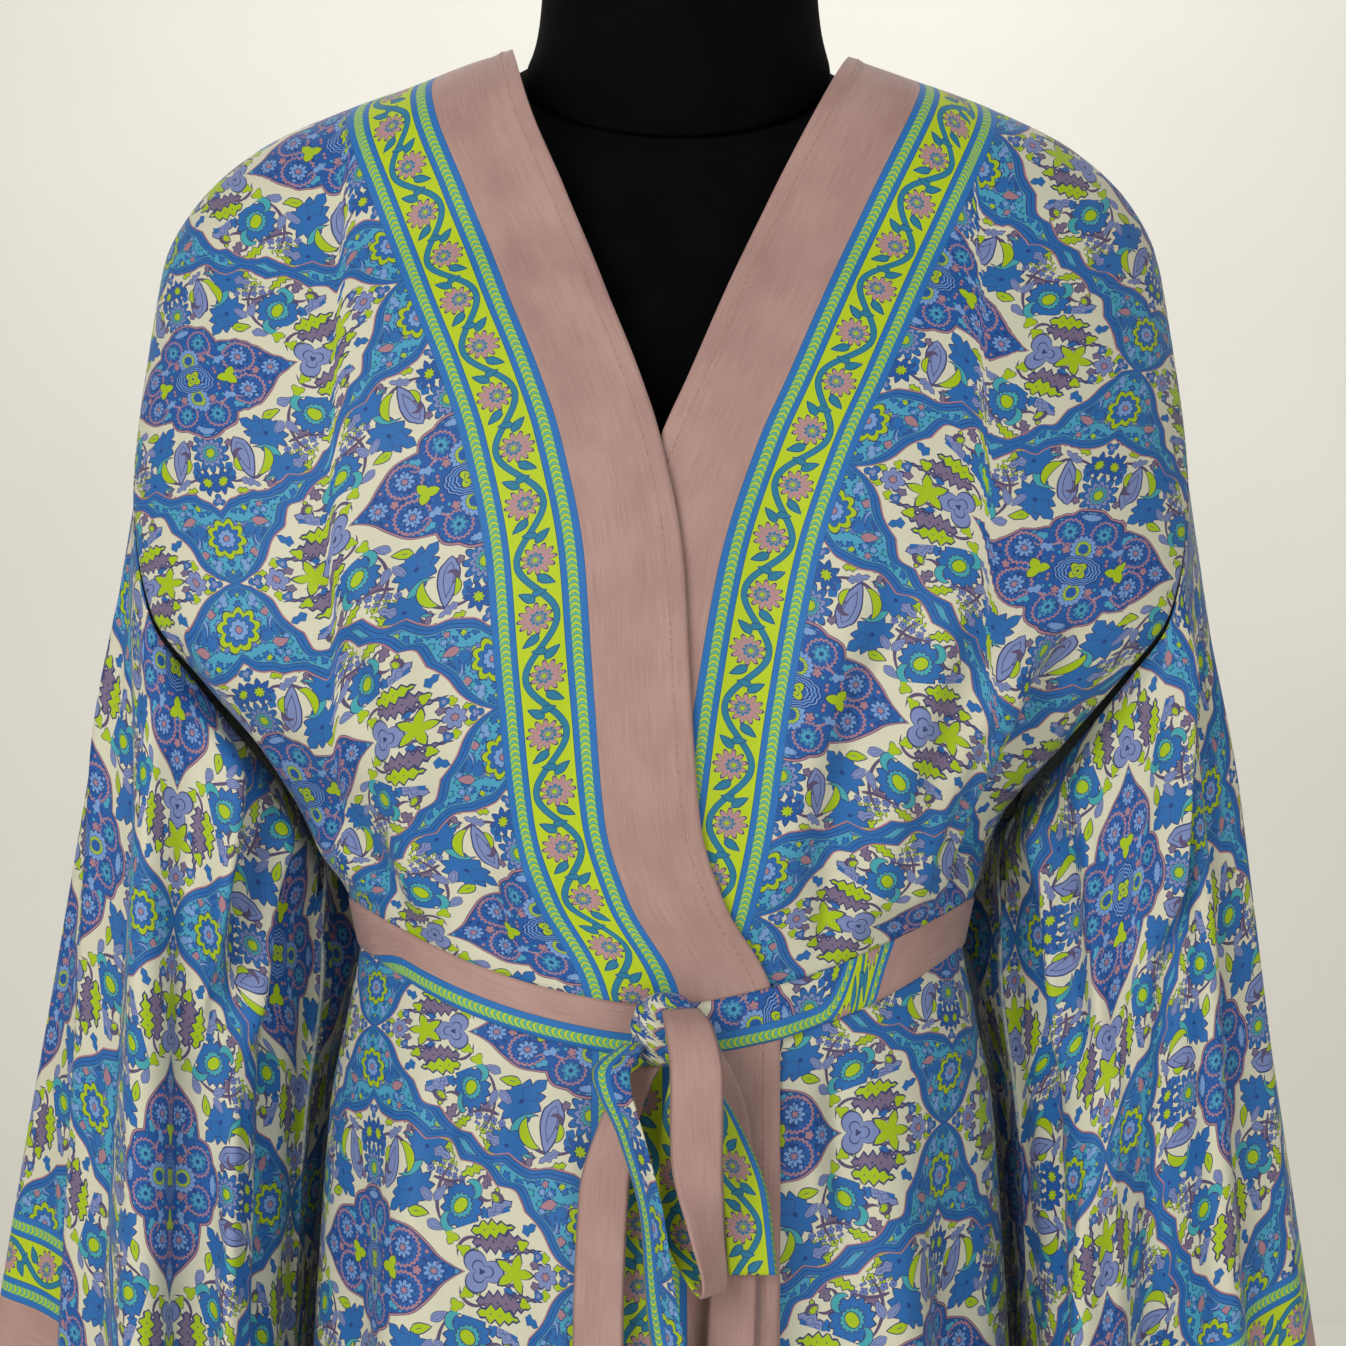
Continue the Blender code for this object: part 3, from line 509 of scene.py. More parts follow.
# Where each sleeve's first ring stands off the armhole, and where its inner side falls
# in towards the tied waist
Ease = namedtuple("Ease", "spread outward down")
UNDERARM_EASE = Ease(0.17, 5.6, 2.0)
SHOULDER_EASE = Ease(0.05, 0.6, 0.8)
Tuck = namedtuple("Tuck", "height reach around spread depth")
WAIST_TUCKS = [
    Tuck(1025, 42, 0.585, 0.075, 17),
    Tuck(1080, 45, 0.63, 0.07, 26),
    Tuck(930, 170, 0.65, 0.08, 46),
]
BODY_CLEARANCE = 0.0035
TUCK_START = 0.035
TUCKED_FROM = 0.76

# Creases: share of the way round at the top and at the bottom, share of the way down
# where they start and end, how wide and how deep in millimetres, and how much steeper one
# side is: the side before the crease for values below zero, the side after it above zero
Crease = namedtuple("Crease", "name around_top around_low start end width depth steep")
RIGHT_CREASES = [
    Crease("under the flap", 0.165, 0.165, 0.02, 1.1, 15, -13, 0.6),
    Crease("flap rim", 0.205, 0.200, 0.05, 1.1, 22, 7, -0.7),
    Crease("flap hollow", 0.275, 0.285, 0.15, 0.95, 16, -6, 0),
    Crease("long ridge", 0.33, 0.315, 0.12, 1.1, 12, 6, -0.4),
    Crease("slanting crease", 0.38, 0.26, 0.03, 0.42, 9, -7, 0.4),
    Crease("second slanting crease", 0.43, 0.34, 0.02, 0.36, 8, -9, 0.4),
    Crease("valley beside the body", 0.365, 0.33, 0.0, 0.34, 15, -12, 0.5),
    Crease("inner hollow", 0.385, 0.375, 0.35, 1.1, 10, -7, 0.4),
    Crease("inner ridge", 0.44, 0.425, 0.1, 1.1, 9, 6, 0),
    Crease("strip hollow", 0.055, 0.07, 0.2, 1.1, 11, -6, 0),
    Crease("top ridge", 0.02, 0.02, 0.05, 0.8, 10, 4, 0),
    Crease("back crease", 0.66, 0.72, 0.05, 0.6, 9, -7, 0),
    Crease("back ridge", 0.80, 0.79, 0.1, 1.1, 11, 6, 0),
    Crease("back hollow", 0.88, 0.87, 0.15, 1.1, 12, -7, 0),
]
LEFT_CREASES = [
    Crease("valley", 0.268, 0.262, 0.0, 0.38, 16, -12, 0.3),
    Crease("overlapping rim", 0.315, 0.318, 0.03, 0.7, 20, 4, -0.2),
    Crease("broad hollow", 0.20, 0.17, 0.25, 1.1, 14, -6, 0),
    Crease("broad ridge", 0.14, 0.125, 0.1, 1.1, 14, 6, 0),
    Crease("outer hollow", 0.07, 0.08, 0.2, 1.1, 11, -6, 0),
    Crease("slanting crease", 0.38, 0.33, 0.02, 0.42, 9, -7, -0.4),
    Crease("second slanting crease", 0.43, 0.37, 0.02, 0.40, 8, -9, -0.4),
    Crease("low triangular fold", 0.37, 0.40, 0.45, 1.1, 11, -10, 0.5),
    Crease("inner ridge", 0.45, 0.43, 0.12, 1.1, 9, 6, 0),
    Crease("back crease", 0.67, 0.73, 0.05, 0.6, 9, -7, 0),
    Crease("back ridge", 0.79, 0.80, 0.1, 1.1, 11, 6, 0),
    Crease("back hollow", 0.89, 0.87, 0.15, 1.1, 12, -7, 0),
]
# Just below the seam the sleeve sinks in under the blousing body: share of the way round,
# reach round and down, how far down in millimetres, and how deep
SeamValley = namedtuple("SeamValley", "around spread down width depth")
SEAM_VALLEYS = [
    SeamValley(0.36, 0.09, 19, 14, -5),
    SeamValley(0.45, 0.07, 28, 18, -6),
    SeamValley(0.62, 0.10, 20, 16, -4),
]


def armhole_loop(side, count):
    """The sewn armhole: down the front from the shoulder, under, and up the back."""
    heights = ROWS[(ROWS >= UNDERARM_HEIGHT - 1e-6) & (ROWS <= ARMHOLE_TOP + 1e-6)]
    halves = []
    for face in ("front", "back"):
        ends = []
        for z in heights:
            section = level_section(z, face, side)
            ends.append(section[-1] + unit(section[-1] - section[-2]) * 2 * SEAM_GAP)
        halves.append(np.array(ends))
    front = even_along(halves[0][::-1], count // 2 + 1)
    back = even_along(halves[1], count // 2 + 1)
    return np.concatenate([front[:-1], back[:-1]])


def closed_curve(folds, count):
    """A smooth closed line through the folds of a cuff, read by its shares."""
    share = np.array([fold.around for fold in folds])
    place = np.array([[fold.x, fold.y, fold.z] for fold in folds], float) * MM
    share = np.concatenate([share[-2:] - 1, share, share[:3] + 1])
    place = np.concatenate([place[-2:], place, place[:3]])
    slope = np.gradient(place, share, axis=0)
    where = np.arange(count) / count
    row = np.searchsorted(share, where, side="right") - 1
    span = (share[row + 1] - share[row])[:, None]
    t = (where - share[row])[:, None] / span
    return curve_between(place[row], place[row + 1], slope[row], slope[row + 1], span, t)


def tube_normals(grid, side):
    """Unit normals of a sleeve's points, outward."""
    around = np.roll(grid, -1, axis=1) - np.roll(grid, 1, axis=1)
    return unit(np.cross(np.gradient(grid, axis=0), around) * side)


def swell(where, middle, spread):
    """1 at the middle, falling softly to 0 on both sides of it."""
    return np.exp(-(((where - middle) / spread) ** 2))


def keep_clear(grid, side):
    """Hold a sleeve's inner side just outside the back of the tied body."""
    step = np.diff(ROWS).max()
    for row in np.flatnonzero((ROWS > TUCKED_FROM) & (ROWS < UNDERARM_HEIGHT)):
        outline = BACK_GRID[row][BACK_GRID[row][:, 0] * side > 0]
        outline = outline[np.argsort(outline[:, 1])]
        near = (np.abs(grid[:, :, 2] - ROWS[row]) < step) & (grid[:, :, 1] > outline[0, 1])
        limit = np.interp(grid[near][:, 1], outline[:, 1], np.abs(outline[:, 0])) + BODY_CLEARANCE
        grid[near, 0] = side * np.maximum(grid[near][:, 0] * side, limit)


def sleeve_grid(side, cuff, creases):
    """A sleeve: rings from the armhole down to the cuff, each folded a little more."""
    top = armhole_loop(side, SLEEVE_COLUMNS)
    share = np.arange(SLEEVE_COLUMNS) / SLEEVE_COLUMNS
    top[:, 2] -= SEAM_GAP
    from_shoulder = np.minimum(share, 1 - share)
    for away, ease in ((share - 0.5, UNDERARM_EASE), (from_shoulder, SHOULDER_EASE)):
        reach = swell(away, 0, ease.spread)
        top[:, 0] += side * ease.outward * MM * reach
        top[:, 2] -= ease.down * MM * reach
    down = np.linspace(0, 1, SLEEVE_ROWS + 1)[:, None, None]
    grid = top * (1 - down) + closed_curve(cuff, SLEEVE_COLUMNS) * down
    along = down[:, :, 0]
    level = grid[:, :, 2].copy()
    for tuck in WAIST_TUCKS:
        reach = swell(level, tuck.height * MM, tuck.reach * MM)
        reach = reach * swell(share, tuck.around, tuck.spread)
        grid[:, :, 0] -= side * tuck.depth * MM * reach * smooth_step(0, TUCK_START, along)
    keep_clear(grid, side)

    around = np.linalg.norm(np.roll(grid, -1, axis=1) - grid, axis=2).sum(axis=1)[:, None]
    move = np.full(grid.shape[:2], CLOTH_PLACE)
    for crease in creases:
        middle = crease.around_top + (crease.around_low - crease.around_top) * along
        away = (share - middle + 0.5) % 1 - 0.5
        across = away * around / (crease.width * MM)
        across = across * np.where(across * crease.steep > 0, 1 / (1 - abs(crease.steep)), 1)
        fade = CREASE_FADE * (crease.end - crease.start)
        reach = smooth_step(crease.start, crease.start + fade, along)
        reach = reach * (1 - smooth_step(crease.end - fade, crease.end, along))
        move += crease.depth * MM * swell(across, 0, 1) * reach
    below_seam = run_length(grid) / MM
    for valley in SEAM_VALLEYS:
        reach = swell(share, valley.around, valley.spread)
        dip = swell(below_seam, valley.down, valley.width)
        move += valley.depth * MM * dip * smooth_step(0, VALLEY_START, below_seam) * reach
    move -= SEAM_DIP * np.exp(-below_seam / SEAM_DIP_DOWN)
    return grid + tube_normals(grid, side) * move[:, :, None]


RIGHT_SLEEVE_GRID = sleeve_grid(-1.0, RIGHT_CUFF, RIGHT_CREASES)
LEFT_SLEEVE_GRID = sleeve_grid(1.0, LEFT_CUFF, LEFT_CREASES)
print("points of a sleeve:", SLEEVE_ROWS * SLEEVE_COLUMNS)

# %% [markdown]
# ## Where each point lies on the flat cloth
# A printed pattern belongs to the cloth before it is cut, so each point needs its place on
# the flat panel: how far it is from the finished edge, and how far along it. These are
# measured over the folded surface itself, so the print bends with every fold. On the
# fronts the print follows the slanting neck edge above the belt and hangs straight below.

# %% Places on the flat cloth
GRAIN_TILT = [
    (150, 0), (985, 0), (1040, 5), (1090, 9), (1150, 12), (1250, 18), (1350, 23), (1422, 24),
]
FRONT_START = {"top_layer": 119.7, "under_layer": 164.4}
BACK_START = (395, 40)
CLIMB_SHARE = 0.35
BELT_COVER = 0.0085
BELT_TAKE_UP = {"top_layer": 146.2, "under_layer": 0}
SLEEVE_START = {"right": 78, "left": -34}


def climb(grid):
    """Distance up the cloth from its lowest row, measured along upright lines."""
    across = np.linspace(grid[:, :, 0].min(), grid[:, :, 0].max(), DENSE_POINTS)
    depth = []
    for row in grid:
        order = np.argsort(row[:, 0])
        depth.append(np.interp(across, row[order, 0], row[order, 1]))
    steps = np.diff(np.array(depth), axis=0)
    rises = np.diff(ROWS)[:, None]
    run = np.cumsum(np.sqrt(steps**2 + rises**2), axis=0)
    run = np.concatenate([np.zeros((1, DENSE_POINTS)), run])
    return np.array([np.interp(row[:, 0], across, line) for row, line in zip(grid, run)])


def front_places(grid, smooth, layer):
    """Millimetres from the free edge and along it, for each point of a front."""
    reach = run_across(grid)
    heights, tilts = zip(*GRAIN_TILT)
    tilt = np.radians(smooth_lookup(np.array(heights) * MM, tilts, ROWS))[:, None]
    up = climb(smooth)
    edge = run_length(smooth[:, 0])[:, None]
    along = edge + CLIMB_SHARE * (up - up[:, :1]) + reach * np.sin(tilt)
    above_belt = smooth_step(-BELT_COVER, BELT_COVER, grid[:, :, 2] - belt_height(grid[:, :, 0]))
    along = along + BELT_TAKE_UP[layer] * MM * above_belt
    return np.stack([reach * np.cos(tilt), along], axis=2) / MM + [0, FRONT_START[layer]]


def back_places(grid, smooth):
    """Millimetres across from the middle and up from the hem, for the back."""
    reach = run_across(grid)
    middle = grid.shape[1] // 2
    across = reach - reach[:, middle : middle + 1]
    return np.stack([across, climb(smooth)], axis=2) / MM + BACK_START


def sleeve_places(grid, start):
    """Millimetres up from the cuff and round the sleeve; the last column closes the ring."""
    opened = np.roll(grid, -int(SLEEVE_SEAM * SLEEVE_COLUMNS), axis=1)
    ring = np.concatenate([opened, opened[:, :1]], axis=1)
    up = run_length(ring[::-1])[::-1]
    around = run_across(ring)
    middle = ring.shape[1] * 3 // 4
    around = around - around[:, middle : middle + 1]
    return opened, np.stack([up, around], axis=2) / MM + [0, start]


TOP_FRONT_PLACES, UNDER_FRONT_PLACES = [
    front_places(grid, SMOOTH_FRONT_GRIDS[layer], layer)
    for grid, layer in ((TOP_FRONT_GRID, "top_layer"), (UNDER_FRONT_GRID, "under_layer"))
]
BACK_PLACES = back_places(BACK_GRID, SMOOTH_BACK_GRID)
RIGHT_OPENED, RIGHT_SLEEVE_PLACES = sleeve_places(RIGHT_SLEEVE_GRID, SLEEVE_START["right"])
LEFT_OPENED, LEFT_SLEEVE_PLACES = sleeve_places(LEFT_SLEEVE_GRID, SLEEVE_START["left"])
print("width of a front at the hem:", round(TOP_FRONT_PLACES[0, -1, 0]), "mm")

# %% [markdown]
# ## Inks and small node tools
# The cloth is printed in about twenty inks. Each is written as the code a printer would
# note down, and so are the colours of the thread, the form, the stand and the wall. The
# helper functions add shader nodes and hand back their output, so a pattern can be written
# like ordinary sums. A Float Curve node reads a charted outline, and a Color Ramp lays
# inks in bands.

# %% Inks and node helpers
def colour_of(code):
    """A printed colour, written as six hex digits, in the linear values that Blender mixes."""
    parts = [int(code[i : i + 2], 16) / 255 for i in (0, 2, 4)]
    linear = [c / 12.92 if c <= 0.04045 else ((c + 0.055) / 1.055) ** 2.4 for c in parts]
    return (*linear, 1.0)


INK_CODES = {
    "royal": "1F5AA6", "blue": "286DB4", "deep": "1C4488", "sky": "4DA4C6", "teal": "46AAB4",
    "lime": "ACC810", "periwinkle": "6C80BE", "lilac": "808FC2", "pale": "7BA2D8",
    "mauve": "7C6C88", "stem": "5E5072", "coral": "AE808C", "cream": "DEDBC2",
    "outline": "3C4070", "vine": "2B7FA2", "vine_edge": "245C80", "lotus": "BC9093",
    "meadow": "BFD61F", "leaf_green": "6CC08A", "stripe": "2B74BE", "rose_light": "BE9A91",
    "rose_dark": "AE8981", "reverse_blue": "8FA6C2", "reverse_cream": "D4D3C4",
    "reverse_teal": "9CBBB9", "thread_light": "D2AC9C", "thread_dark": "BC9284",
    "knit_black": "060708", "knit_grey": "0B0C0E", "enamel_black": "17171A",
    "enamel_worn": "2E2E33", "wall_dark": "EDEBE3", "wall_light": "F3F1EA",
}
INKS = {name: colour_of(code) for name, code in INK_CODES.items()}
INKS["bare"] = (0, 0, 0, 0)


def put(tree, kind, *inputs, out=0, named=(), **options):
    """Add a node, set its options, feed its inputs in order or by name, give one output."""
    node = tree.nodes.new("ShaderNode" + kind)
    for name, value in options.items():
        setattr(node, name, value)
    feeds = [*zip(node.inputs, inputs)]
    feeds += [(node.inputs[name], value) for name, value in dict(named).items()]
    for socket, value in feeds:
        if isinstance(value, bpy.types.NodeSocket):
            tree.links.new(value, socket)
        elif value is not None:
            socket.default_value = value
    return node.outputs[out]


def maths(tree, operation, *inputs):
    """A sum of values."""
    return put(tree, "Math", *inputs, operation=operation)


def vectors(tree, operation, *inputs, out=0):
    """A sum of vectors."""
    return put(tree, "VectorMath", *inputs, operation=operation, out=out)


def apart(tree, first, second):
    """How far two values are from each other."""
    return maths(tree, "ABSOLUTE", maths(tree, "SUBTRACT", first, second))


def squared(tree, value):
    """A value times itself."""
    return maths(tree, "MULTIPLY", value, value)


def zigzag(tree, value, steepness):
    """Up to 1 and down to 0 again and again along a value."""
    return maths(tree, "PINGPONG", maths(tree, "MULTIPLY", value, steepness), 1.0)


def split(tree, vector):
    """The three parts of a vector."""
    return put(tree, "SeparateXYZ", vector).node.outputs


def noise(tree, where, stretch, detail):
    """Soft noise over the flat cloth, at a scale of its own each way."""
    return put(tree, "TexNoise", vectors(tree, "MULTIPLY", where, stretch), None, 1.0, detail)


def bumped(tree, height, strength, distance):
    """A surface's direction, leaning with a height."""
    feeds = {"Strength": strength, "Distance": distance, "Height": height}
    return put(tree, "Bump", named=feeds)


def mixed(tree, factor, below, above, kind="RGBA"):
    """Lay one colour or vector over another by a factor."""
    first, second, out = {"RGBA": (6, 7, 2), "VECTOR": (4, 5, 1)}[kind]
    feeds = {0: factor, first: below, second: above}
    return put(tree, "Mix", out=out, named=feeds, data_type=kind)


def charted(tree, value, points, cusps=()):
    """A charted curve read at a value from 0 to 1."""
    node = tree.nodes.new("ShaderNodeFloatCurve")
    curve = node.mapping.curves[0]
    curve.points[0].location = points[0]
    curve.points[-1].location = points[-1]
    for x, y in points[1:-1]:
        curve.points.new(x, y)
    for point in curve.points:
        near_cusp = any(abs(point.location[0] - cusp) < 1e-3 for cusp in cusps)
        point.handle_type = "VECTOR" if near_cusp else "AUTO_CLAMPED"
    node.mapping.update()
    tree.links.new(value, node.inputs["Value"])
    return node.outputs[0]


def read_bands(text):
    """Bands written as where each begins and its ink: '0 lime .27 blue'; bare has none."""
    words = text.split()
    return [(float(place), ink) for place, ink in zip(words[::2], words[1::2])]


def banded(tree, value, bands, smooth=False):
    """Colours in bands along a value from 0 to 1."""
    node = tree.nodes.new("ShaderNodeValToRGB")
    ramp = node.color_ramp
    ramp.interpolation = "LINEAR" if smooth else "CONSTANT"
    stops = read_bands(bands)
    while len(ramp.elements) < len(stops):
        ramp.elements.new(0.5)
    for element, (place, ink) in zip(ramp.elements, stops):
        element.position = place
        element.color = INKS[ink]
    tree.links.new(value, node.inputs[0])
    return node.outputs[0]


def painted(tree, below, value, bands):
    """Lay bands of colour over the cloth's colour where they aren't bare."""
    colour = banded(tree, value, bands)
    return mixed(tree, colour.node.outputs[1], below, colour)


def local(tree, where, motif, length, width):
    """Coordinates of a motif: its own middle or root, turn and size."""
    place = (motif.x, motif.y, 0)
    turn = (0, 0, math.radians(motif.turn))
    return put(tree, "Mapping", where, place, turn, (length, width, 1), vector_type="TEXTURE")


print("inks:", len(INK_CODES))

# %% [markdown]
# ## Flowers, leaves, curls and bunches
# Every motif of the print is one of four kinds. A flower is a circle whose radius swells
# and shrinks with the angle. A leaf is a curve of widths along a bent middle line, with
# teeth if asked. A curl is a piece of a ring that thins to both ends. A bunch is an oval of
# small blossoms. Each is drawn in its own turned and scaled coordinates, as a block cutter
# sets out one motif after the other.

# %% Motif makers
Flower = namedtuple("Flower", "name x y turn size squash petals depth look")
Leaf = namedtuple("Leaf", "name x y turn length width bend teeth look")
Curl = namedtuple("Curl", "name x y turn size width sweep look")
Bunch = namedtuple("Bunch", "name x y turn length width pitch look")

SMALL_PETALS = 5
BUNCH_DEPTH = 0.32
BUNCH_FILL = 0.98
FLORET_DEPTH = 0.45
FLORET_FACE = 0.72


def polar(tree, point):
    """Distance and angle about the origin."""
    radius = vectors(tree, "LENGTH", point, out=1)
    x, y, _ = split(tree, point)
    return radius, maths(tree, "ARCTAN2", y, x)


def petal_reach(tree, angle, petals, depth, size=1.0):
    """How far the petals reach: round ones for a depth above zero, pointed ones below."""
    if depth > 0:
        turned = maths(tree, "COSINE", maths(tree, "MULTIPLY", angle, petals / 2))
        lobe = maths(tree, "ABSOLUTE", turned)
        return maths(tree, "MULTIPLY_ADD", lobe, depth * size, (1 - depth) * size)
    tooth = zigzag(tree, angle, petals / math.pi)
    return maths(tree, "MULTIPLY_ADD", tooth, depth * size, size)


def flower(tree, below, where, motif):
    """Petals round a middle."""
    point = local(tree, where, motif, motif.size, motif.size * motif.squash)
    radius, angle = polar(tree, point)
    share = maths(tree, "DIVIDE", radius, petal_reach(tree, angle, motif.petals, motif.depth))
    return painted(tree, below, share, LOOKS[motif.look] + " 1 bare")


TOOTH_BASE = 0.55
TOOTH_DEPTH = 0.5
LEAF_SHAPE = [(0.0, 0.0), (0.12, 0.55), (0.38, 1.0), (0.75, 0.62), (1.0, 0.0)]


def leaf(tree, below, where, motif):
    """A leaf or paisley: widest near its root, bent sideways, its edge toothed if asked."""
    along, across, _ = split(tree, local(tree, where, motif, motif.length, motif.width))
    if motif.bend:
        across = maths(tree, "MULTIPLY_ADD", squared(tree, along), -motif.bend, across)
    half = charted(tree, along, LEAF_SHAPE)
    if motif.teeth:
        tooth = zigzag(tree, along, 2 * motif.teeth)
        tooth = maths(tree, "MULTIPLY_ADD", tooth, TOOTH_DEPTH, TOOTH_BASE)
        half = maths(tree, "MULTIPLY", half, tooth)
    inside = maths(tree, "SUBTRACT", half, maths(tree, "ABSOLUTE", across))
    return painted(tree, below, inside, LEAF_LOOKS[motif.look])


def curl(tree, below, where, motif):
    """A stem or tendril: a piece of a ring, thinner towards both ends."""
    radius, angle = polar(tree, local(tree, where, motif, 1, 1))
    part = maths(tree, "MULTIPLY", angle, 360 / (math.pi * motif.sweep))
    half = maths(tree, "MULTIPLY_ADD", squared(tree, part), -motif.width, motif.width)
    inside = maths(tree, "SUBTRACT", half, apart(tree, radius, motif.size))
    return painted(tree, below, inside, CURL_LOOKS[motif.look])


def bunch(tree, below, where, motif):
    """A bunch of little blossoms, side by side inside an oval."""
    point = local(tree, where, motif, 1, 1)
    oval = vectors(tree, "MULTIPLY", point, (1 / motif.length, 1 / motif.width, 0))
    reach = vectors(tree, "LENGTH", oval, out=1)
    half = motif.pitch / 2
    cell = vectors(tree, "WRAP", point, (half, half, 1), (-half, -half, -1))
    radius, angle = polar(tree, cell)
    petals = petal_reach(tree, angle, SMALL_PETALS, BUNCH_DEPTH, half * BUNCH_FILL)
    share = maths(tree, "DIVIDE", radius, petals)
    colour = banded(tree, share, LOOKS[motif.look] + " 1 bare")
    inside = maths(tree, "LESS_THAN", reach, 1.0)
    cover = maths(tree, "MULTIPLY", colour.node.outputs[1], inside)
    return mixed(tree, cover, below, colour)


def florets(tree, below, where, pitch, inks, spread):
    """Small blossoms and dots scattered over close ground, each ringed with a dark line."""
    node = put(tree, "TexVoronoi", where, None, 1 / pitch, voronoi_dimensions="2D").node
    spot = vectors(tree, "SUBTRACT", where, node.outputs["Position"])
    radius, angle = polar(tree, spot)
    reach = petal_reach(tree, angle, SMALL_PETALS, FLORET_DEPTH, pitch * spread)
    share = maths(tree, "DIVIDE", radius, reach)
    colours = " ".join(f"{index / len(inks)} {name}" for index, name in enumerate(inks))
    ink = banded(tree, put(tree, "SeparateColor", node.outputs["Color"]), colours)
    ringed = mixed(tree, maths(tree, "LESS_THAN", share, 1.0), below, INKS["deep"])
    return mixed(tree, maths(tree, "LESS_THAN", share, FLORET_FACE), ringed, ink)


def paint(tree, below, where, motifs):
    """Lay the motifs over the ground one after the other."""
    makers = {"Flower": flower, "Leaf": leaf, "Curl": curl, "Bunch": bunch}
    for motif in motifs:
        below = makers[type(motif).__name__](tree, below, where, motif)
    return below


def stamp(tree, name, where, draw):
    """Draw one part of the print in a node group of its own and put it into a material."""
    group = bpy.data.node_groups.new(name, "ShaderNodeTree")
    group.interface.new_socket("place", in_out="INPUT", socket_type="NodeSocketVector")
    group.interface.new_socket("ink", in_out="OUTPUT", socket_type="NodeSocketColor")
    place = group.nodes.new("NodeGroupInput").outputs[0]
    ink = draw(group, place)
    group.links.new(ink, group.nodes.new("NodeGroupOutput").inputs[0])
    node = tree.nodes.new("ShaderNodeGroup")
    node.node_tree = group
    tree.links.new(where, node.inputs[0])
    print(name, "has", len(group.nodes), "nodes")
    return node.outputs[0]


print("motif makers are ready")

# %% [markdown]
# ## Colours and places of the motifs
# The looks give each motif's inks from its middle, or its rim, outward. The places are
# charted in millimetres for one quarter of a cell of the trellis. Mirroring fills the rest,
# as it does in a traditional trellis print. The cream ground is charted in three wedges, so
# that the renderer works out only the motifs near a point.

# %% Motif tables
# Each look is a text of bands: where a band begins, as a share of the way, and its ink.
# Blossoms are read from the middle, at 0, to the petals' ends, at 1.
LOOKS = {
    "blue blossom": "0 lime .27 outline .32 teal .5 outline .55 blue .92 outline",
    "small blue": "0 lime .36 outline .44 royal .9 outline",
    "lilac lotus": (
        "0 lime .24 outline .3 teal .42 outline "
        ".48 lilac .66 outline .7 blue .92 outline"
    ),
    "lilac trefoil": "0 outline .14 lilac .46 outline .52 lilac .92 outline",
    "axis blossom": "0 coral .28 outline .36 lilac .9 outline",
    "lime star": "0 lime .88 outline",
    "lime centre": "0 outline .16 lime .45 outline .52 lime .86 outline",
    "sunflower": "0 royal .36 deep .4 lime .58 deep .64 pale .94 deep",
    "daisy": "0 coral .26 deep .4 pale .8 deep",
    "light daisy": "0 deep .3 sky .72 deep .82 sky .94 deep",
    "lens": "0 royal .46 pale .51 deep .6 pale .65 royal .74 pale .79 deep .88 pale .93 deep",
    "coral ring": "0 bare .86 coral",
    "coral dot": "0 coral .8 deep",
    "bud": "0 lilac .45 outline .54 blue .9 outline",
    "lime floret": "0 outline .25 lime .82 outline",
    "lilac floret": "0 outline .22 periwinkle .82 outline",
    "fan": "0 coral .14 deep .18 pale .42 deep .47 blue .66 outline .7 lime .93 outline",
    "royal leaf": "0 deep .12 blue .93 outline",
    "lotus": "0 lotus .9 outline",
    "lotus eye": "0 lime .34 vine .46 lotus .62 vine",
    "zigzag": "0 pale .8 deep",
}

# Leaves and curls are read from the rim, at 0, inward; bare leaves the ground as it is
LEAF_LOOKS = {
    "lime": "0 bare .02 outline .22 lime .93 outline",
    "royal": "0 bare .02 outline .1 blue .93 deep",
    "mauve": "0 bare .02 outline .22 mauve .9 outline",
    "twig": "0 bare .02 outline .5 mauve",
    "lilac": "0 bare .02 outline .16 lilac .55 outline .62 lilac",
    "coral": "0 bare .02 deep .2 coral",
    "sky": "0 bare .02 deep .16 sky",
    "pale": "0 bare .02 deep .16 pale",
    "vine": "0 bare .02 vine_edge .3 vine",
}
CURL_LOOKS = {
    "stem": "0 bare .02 stem",
    "lime": "0 bare .02 outline .42 lime",
    "teal": "0 bare .02 outline .38 teal",
    "coral": "0 bare .02 coral",
    "scroll": "0 bare .02 deep .35 pale",
}

REPEAT_LONG = 105.0
REPEAT_TALL = 99.0

# The cell's scalloped outline: distance from its middle at angles from its long axis
CELL_REACH = 104.0
CELL_OUTLINE = [
    (0, 103.5), (2, 97), (5.5, 91.5), (12, 87.5), (17.5, 82.6), (22.5, 82.6), (27.5, 76.4),
    (34, 74.6), (41.4, 67.4), (49, 67.8), (57.5, 61.8), (66, 63.0), (76, 59.6), (84, 60.2),
    (90, 65),
]
CELL_CUSPS = (17.5, 27.5, 41.4, 57.5, 90)
MEDALLION_REACH = 51.0
MEDALLION_OUTLINE = [
    (0, 51.0), (3, 46.5), (8, 42.0), (14.5, 39.2), (20, 37.2), (30, 33.8), (39, 29.2), (46, 26.2),
    (58, 28.8), (70, 28.0), (80, 29.6), (90, 29.9),
]
MEDALLION_CUSPS = (14.5, 46, 70)

